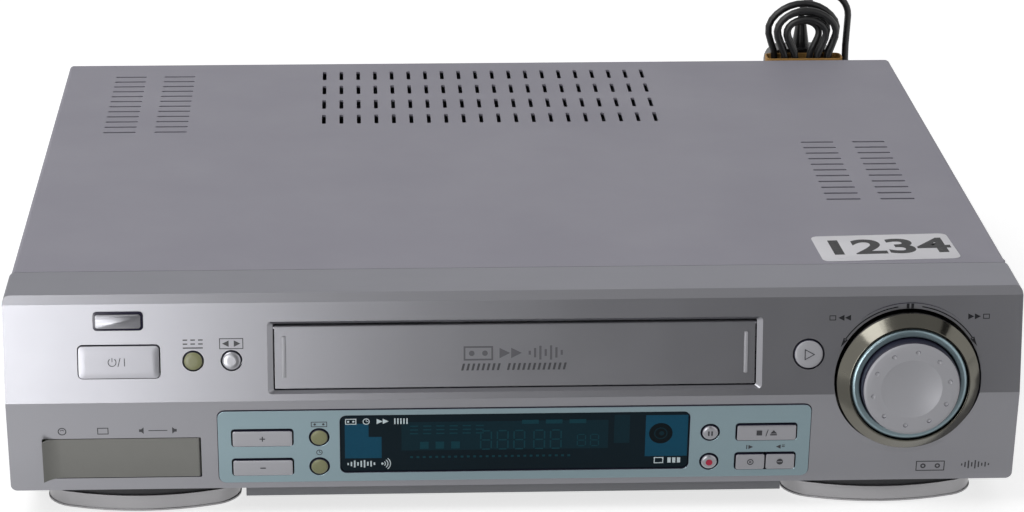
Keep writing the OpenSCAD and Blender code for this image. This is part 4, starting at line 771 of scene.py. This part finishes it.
key_symbol("insert_symbol", "insert_button",
           [disc_outline(0, 0, 1.3), disc_outline(0, 0, 0.95), arrow_outline(0.1, 0, 1.0)],
           on_lower(INSERT_X, LOW_ROW, PLATE_KEY))
key_symbol("dub_symbol", "dub_button", [disc_outline(0, 0, 1.3), box_outline(0, 0, 2.0, 0.4)],
           on_lower(DUB_X, LOW_ROW, PLATE_KEY))
key_symbol("pause_symbol", "pause_button",
           [box_outline(-0.65, 0, 0.65, 2.0), box_outline(0.65, 0, 0.65, 2.0)],
           on_lower(ROUND_X, HIGH_ROW, PLATE_KEY))
key_symbol("record_symbol", "record_button", [disc_outline(0, 0, 1.35)],
           on_lower(ROUND_X, LOW_ROW, PLATE_KEY), red_ink)

# The door's two upright grip ribs, round, and in the paler dial silver as a painted highlight that
# makes them brighter than the door
RIB_X, RIB_Z, RIB_SET_IN = 90.9, 68.8, 0.2
left_rib = slab(1.6, 17.0, 0.9, 0.6, 0.4, on_upper(-RIB_X, RIB_Z, -DOOR_SUNK - RIB_SET_IN))
alone(left_rib)
bpy.ops.object.duplicate()
right_rib = settle(bpy.context.object, Matrix.Translation((2 * RIB_X * MM, 0, 0)))
dressed(left_rib, "door_rib_left", dial_silver, "cassette_door", "silver_plastic")
dressed(right_rib, "door_rib_right", dial_silver, "cassette_door", "silver_plastic")

# Printed on the door: a dim row of a cassette, arrows and a wave, over a dark row of bars
dim_marks = frame_outline(-14.6, 0, 11.6, 5.8, 0.7)
dim_marks += [disc_outline(x, 0, 1.1) for x in (-17.2, -12.0)]
dim_marks += [arrow_outline(x, 0, 4.2) for x in (-4.2, 0.4)]
dim_marks += [box_outline(5.6 + 2.1 * i, 0, 0.9, h)
              for i, h in enumerate((1.6, 3.8, 5.6, 2.8, 5.8, 4.2, 2.0))]
printed("door_pictogram", dim_ink, "cassette_door", "silver_plastic",
        (dim_marks, on_upper(0, 69.4, SKIN - DOOR_SUNK)))
slants = [[(x - 0.8, -1.4), (x + 0.1, -1.4), (x + 0.8, 1.4), (x - 0.1, 1.4)]
          for x in [-20.6 + 2.0 * i for i in range(21) if i != 8]]
printed("door_bar_row", grey_ink, "cassette_door", "silver_plastic",
        (slants, on_upper(0, 63.9, SKIN - DOOR_SUNK)))


# On the display window, as if behind it: filter blocks, unlit digits and small white marks
def digit(x, z, w=4.2, h=8.4, line=0.55):
    """The seven unlit segments of one digit."""
    bars = [box_outline(x, z + dz, w - 2 * line, line) for dz in (-h / 2, 0, h / 2)]
    return bars + [box_outline(x + dx, z + dz, line, h / 2 - 1.4 * line)
                   for dx in (-w / 2, w / 2) for dz in (-h / 4, h / 4)]


# Heights are measured from the window's middle, and each layer lies a skin over the last
WINDOW_Z = 31.9
EYE_X, EYE_Z = 57.9, 34.9 - WINDOW_Z
TOP_ROW, FOOT_ROW = 10.0, -9.4
left_block = [[(-67.4, -6.8), (-52.9, -6.8), (-52.9, 2.9), (-58.0, 2.9), (-58.0, 9.0),
               (-67.4, 9.0)]]
right_block = [box_outline(60.2, 1.9, 16.8, 18.8)]
printed("display_filter_blocks", blue_filter, "chassis", "smoked_window",
        (left_block + right_block, on_lower(0, WINDOW_Z, SKIN)))
printed("display_pale_block", deep_filter, "chassis", "smoked_window",
        ([box_outline(42.4, 5.2, 6.2, 12.9)] + [box_outline(-4, 3.0, 82, 13.0)],
         on_lower(0, WINDOW_Z, SKIN / 2)))
ghosts = [bar for x in (-11.5, -4.9, 1.7, 9.6, 16.2) for bar in digit(x, 0.9)]
ghosts += [bar for x in (26.4, 31.6) for bar in digit(x, 0.3, 3.2, 5.2, 0.4)]
ghosts += [box_outline(-41 + 2.5 * i, -6.6, 1.1, 0.9) for i in range(26)]
ghosts += [box_outline(-40 + 5.2 * i, 7.6 - 1.7 * k, 3.2, 0.5) for i in range(6) for k in range(3)]
ghosts += [box_outline(-36 + 6.2 * i, -1.2, 3.4, 3.2) for i in range(3)]
ghosts += [box_outline(6 + 9.4 * i, 9.0, 6.6, 1.8) for i in range(3)]
printed("display_ghost_segments", ghost_phosphor, "chassis", "smoked_window",
        (ghosts, on_lower(0, WINDOW_Z, 2 * SKIN)))
white_marks = frame_outline(-65.0, TOP_ROW, 4.4, 2.6, 0.35)
white_marks += [disc_outline(x, TOP_ROW, 0.45, 12) for x in (-66.0, -64.0)]
white_marks += [disc_outline(-58.9, TOP_ROW, r) for r in (1.4, 1.05)]
white_marks += [box_outline(-58.9, TOP_ROW + 0.4, 0.25, 1.0),
                box_outline(-58.5, TOP_ROW, 0.9, 0.25)]
white_marks += [arrow_outline(x, TOP_ROW, 2.4) for x in (-53.6, -51.2)]
white_marks += [box_outline(-47.6 + 1.2 * i, TOP_ROW, 0.5, 2.6) for i in range(5)]
white_marks += [box_outline(-66.2 + 1.3 * i, FOOT_ROW, 0.6, h)
                for i, h in enumerate((1.0, 2.0, 3.2, 1.6, 2.8, 3.4, 1.8, 2.6, 1.2))]
white_marks += [arc_outline(-52.6, FOOT_ROW, r, 0.35, 40, 140) for r in (1.2, 2.2, 3.2)]
white_marks += [disc_outline(-52.6, FOOT_ROW, 0.5, 12)]
white_marks += frame_outline(57.4, FOOT_ROW, 3.8, 2.8, 0.4)
white_marks += [box_outline(61.6 + 1.9 * i, FOOT_ROW, 1.3, 2.4) for i in range(3)]
printed("display_white_marks", white_ink, "chassis", "smoked_window",
        (white_marks, on_lower(0, WINDOW_Z, 3 * SKIN)))
printed("remote_eye_ring", eye_ink, "chassis", "smoked_window",
        ([disc_outline(EYE_X, EYE_Z, 4.7)], on_lower(0, WINDOW_Z, 2 * SKIN)))
printed("remote_eye_glint", deep_filter, "chassis", "smoked_window",
        ([disc_outline(EYE_X, EYE_Z, 2.7), disc_outline(EYE_X, EYE_Z, 2.2),
          disc_outline(EYE_X + 0.4, EYE_Z, 1.0)], on_lower(0, WINDOW_Z, 3 * SKIN)))


# The mains lead: along the ground from the rear panel, wound into an upright hank, to the plug
CORD_D = 3.4
HANK_AT, PLUG_Y = (161.4, 198.0), 214.0
TURNS, QUARTER = 5, 8  # loops, and the steps of a quarter fold or a run
RINGS = 6 * QUARTER  # steps of one loop
FOLD_R, STEP, RUN = 10.2, 4.4, 72.0
# Where the tie sits, and how far out the inmost run and each next one lie there
WAIST_Z, WAIST_REACH, WAIST_IN, WAIST_STEP = 85.0, 22.0, 2.6, 5.2
LAYER_STEP = 5.6  # from the hank's front layer to its rear one
TAIL_FOLD_Z, TAIL_STEPS = 105.0, 16
RUN_MARKS = [0, 0.3, 0.45, 0.55, 0.65, 0.75, 0.86, 0.93, 1]  # where a run's steps lie on it
LEAD_ROUTE = [(103, 180, 27), (103, 184, 27), (104, 190, 27), (108, 195, 26), (115, 198, 24),
              (124, 198, 20), (132, 198, 14), (139, 198, 9), (146, 198, 6), (153, 198, 4),
              (158, 198, 4)]


def wind(turn):
    """Radius of the hank's folds: inwards in the front layer, outwards in the rear one."""
    return FOLD_R + STEP * (2 - turn if turn < 2 else 0 if turn < 2.5 else turn - 2.5)


FOLD_Z = wind(TURNS) + CORD_D / 2 + 0.1


def drawn_in(x, z, radius):
    """The tie draws the runs together at the hank's waist."""
    reach = abs(z - WAIST_Z)
    dip = cos(pi / 2 * reach / WAIST_REACH) ** 2 if reach < WAIST_REACH else 0
    waist = WAIST_IN + (radius - FOLD_R) * WAIST_STEP / STEP
    return x * (1 - (1 - waist / radius) * dip)


def on_loop(j, radius):
    """X and Z of a step on one loop: quarter fold, run up, half fold, run down, quarter fold."""
    top, part = FOLD_Z + RUN, j // QUARTER
    turn = pi / 2 * (j - part * QUARTER) / QUARTER
    if part == 0:
        return radius * sin(turn), FOLD_Z - radius * cos(turn)
    if part == 1:
        return radius, FOLD_Z + RUN * RUN_MARKS[j - QUARTER]
    if part in (2, 3):
        swept = pi / 2 * (j - 2 * QUARTER) / QUARTER
        return radius * cos(swept), top + radius * sin(swept)
    if part == 4:
        return -radius, FOLD_Z + RUN * RUN_MARKS[5 * QUARTER - j]
    return -radius * cos(turn), FOLD_Z - radius * sin(turn)


def hank_point(i):
    """A step on the hank, which goes back to the rear layer in its third turn."""
    turn = i / RINGS
    x, z = on_loop(i % RINGS, wind(turn))
    if i <= TURNS * RINGS:
        x = drawn_in(x, z, wind(turn))
    layer = LAYER_STEP * max(0, min(1, (turn - 2) / 0.5))
    return HANK_AT[0] + x, HANK_AT[1] + layer, z


def tail_point(j):
    """A step on the last half loop, which goes back to the plug."""
    x, y, z = hank_point(TURNS * RINGS + j)
    mark = round(QUARTER * max(0, min(1, (j - QUARTER) / QUARTER)))
    return x, y + (PLUG_Y - HANK_AT[1] - LAYER_STEP) * RUN_MARKS[mark], z


tail_r = wind(TURNS + 0.5) / 2
cord_points = LEAD_ROUTE[:-1] + [(HANK_AT[0] - CORD_D, HANK_AT[1], FOLD_Z - wind(0))]
cord_points += [hank_point(i) for i in range(TURNS * RINGS + 1)]
cord_points += [tail_point(j) for j in range(1, 2 * QUARTER)]
cord_points += [(HANK_AT[0] + tail_r + tail_r * cos(pi * k / TAIL_STEPS), PLUG_Y,
                 TAIL_FOLD_Z + tail_r * sin(pi * k / TAIL_STEPS))
                for k in range(TAIL_STEPS + 1)]
cord_points += [(HANK_AT[0], PLUG_Y, TAIL_FOLD_Z - CORD_D)]
cord_points = [Vector((x, y, z)) * MM for x, y, z in cord_points]

line = bpy.data.curves.new("mains_cord", "CURVE")
line.dimensions = "3D"
line.bevel_depth = CORD_D / 2 * MM
line.bevel_resolution = 5
line.resolution_u = 3
line.use_fill_caps = True
spline = line.splines.new("POLY")
spline.points.add(len(cord_points) - 1)
for point, at in zip(spline.points, cord_points):
    point.co = (*at, 1)
cord = bpy.data.objects.new("mains_cord", line)
bpy.context.scene.collection.objects.link(cord)
line.materials.append(vinyl)
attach(cord, "chassis")
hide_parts("mains_lead", "mains_hank")
cord_length = sum((b - a).length for a, b in zip(cord_points, cord_points[1:]))
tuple(cord_points[0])


# Floor, background and light
GLOW = 0.72  # what the lit paper lacks of full white
APRON_GLOW = 0.3
FALL_FROM, FALL_TO = -0.22, -0.02  # X, in metres, where the apron's paper falls off


def seen_ray(tree):
    """1 for the rays of the camera, of mirrors and through glass; 0 for those that light."""
    ray = add(tree, "LightPath")
    seen = add(tree, "Math", {0: (ray, "Is Camera Ray"), 1: (ray, "Is Glossy Ray")},
               operation="MAXIMUM")
    return add(tree, "Math", {0: (seen, "Value"), 1: (ray, "Is Transmission Ray")},
               operation="MAXIMUM")


def stage_paper(name, right_glow=GLOW):
    """White paper that looks as white as the background but for the shadow on it."""
    material, tree, shader, where = blank(name, Roughness=0.9, IOR=1.4)
    shader.inputs["Base Color"].default_value = linear("#c4c4c4")
    shader.inputs["Emission Color"].default_value = (1, 1, 1, 1)
    across = add(tree, "SeparateXYZ", {"Vector": (where, "Object")})
    fall = add(tree, "MapRange", {"Value": (across, "X"), "From Min": FALL_FROM,
                                  "From Max": FALL_TO, "To Min": GLOW, "To Max": right_glow})
    glow = add(tree, "Math", {0: (seen_ray(tree), "Value"), 1: (fall, "Result")},
               operation="MULTIPLY")
    tree.links.new(glow.outputs["Value"], shader.inputs["Emission Strength"])
    return material


def stage_sheet(name, material, at, size, turn=(0, 0, 0), shown=True):
    """A flat sheet of the stage, which the camera sees only when shown."""
    bpy.ops.mesh.primitive_plane_add(size=1, location=at, rotation=turn)
    sheet = bpy.context.object
    sheet.name = name
    sheet.scale = (*size, 1)
    settle(sheet)
    sheet.data.materials.append(material)
    sheet.visible_camera = shown


STAGE_W, TABLE_EDGE, TABLE_DEPTH, APRON_DEPTH = 8, -0.176, 4, 0.09
stage_sheet("studio_table", stage_paper("white_table_paper"),
            (0, TABLE_EDGE + TABLE_DEPTH / 2, 0), (STAGE_W, TABLE_DEPTH))
# Before the table's edge, out of the picture, the paper falls off to grey towards the right,
# which the panel's lower face mirrors
stage_sheet("front_apron", stage_paper("shaded_apron_paper", APRON_GLOW),
            (0, TABLE_EDGE - APRON_DEPTH / 2, 0), (STAGE_W, APRON_DEPTH), shown=False)
# Matt grey flags, out of the picture, keep the white room out of the silver on the right
flag_cloth = grained("matt_grey_flag_cloth", "#4a4a4c", "#444446", 40, 2, 0.05, 0.95, IOR=1.4)
stage_sheet("front_flag", flag_cloth, (0.3, -2.3, -0.5), (1.2, 4.4), (pi / 2, 0, 0),
            shown=False)
stage_sheet("ceiling_flag", flag_cloth, (0.9, 0.0, 1.9), (3.6, 3.4), shown=False)

world = bpy.data.worlds.new("studio_world")
bpy.context.scene.world = world
world.use_nodes = True
sky = world.node_tree
sky.nodes.clear()
around = add(sky, "Background", {"Color": (1, 1, 1, 1), "Strength": 0.5})
shown = add(sky, "Background", {"Color": (1, 1, 1, 1), "Strength": 1.0})
both = add(sky, "MixShader", {0: (seen_ray(sky), "Value"), 1: (around, "Background"),
                              2: (shown, "Background")})
add(sky, "OutputWorld", {"Surface": (both, "Shader")})


def softbox(name, at, aim, width, height, power):
    """A rectangular lamp, in metres and watts, which the camera doesn't see itself."""
    bpy.ops.object.light_add(type="AREA", location=at)
    lamp = bpy.context.object
    lamp.name = name
    lamp.data.shape = "RECTANGLE"
    lamp.data.size, lamp.data.size_y = width, height
    lamp.data.energy = power
    lamp.rotation_euler = (Vector(aim) - Vector(at)).to_track_quat("-Z", "Y").to_euler()
    lamp.visible_camera = False


softbox("overhead_softbox", (0.6, 0.1, 1.8), (0.6, 0.1, 0), 2.6, 2.6, 9)
softbox("upper_left_softbox", (-0.8, -0.6, 1.3), (0, 0, 0.08), 0.9, 0.9, 9)
softbox("low_left_softbox", (-0.75, -1.9, -0.1), (-0.15, -0.17, 0.05), 0.9, 0.8, 12)

bpy.context.scene.view_settings.view_transform = "Standard"
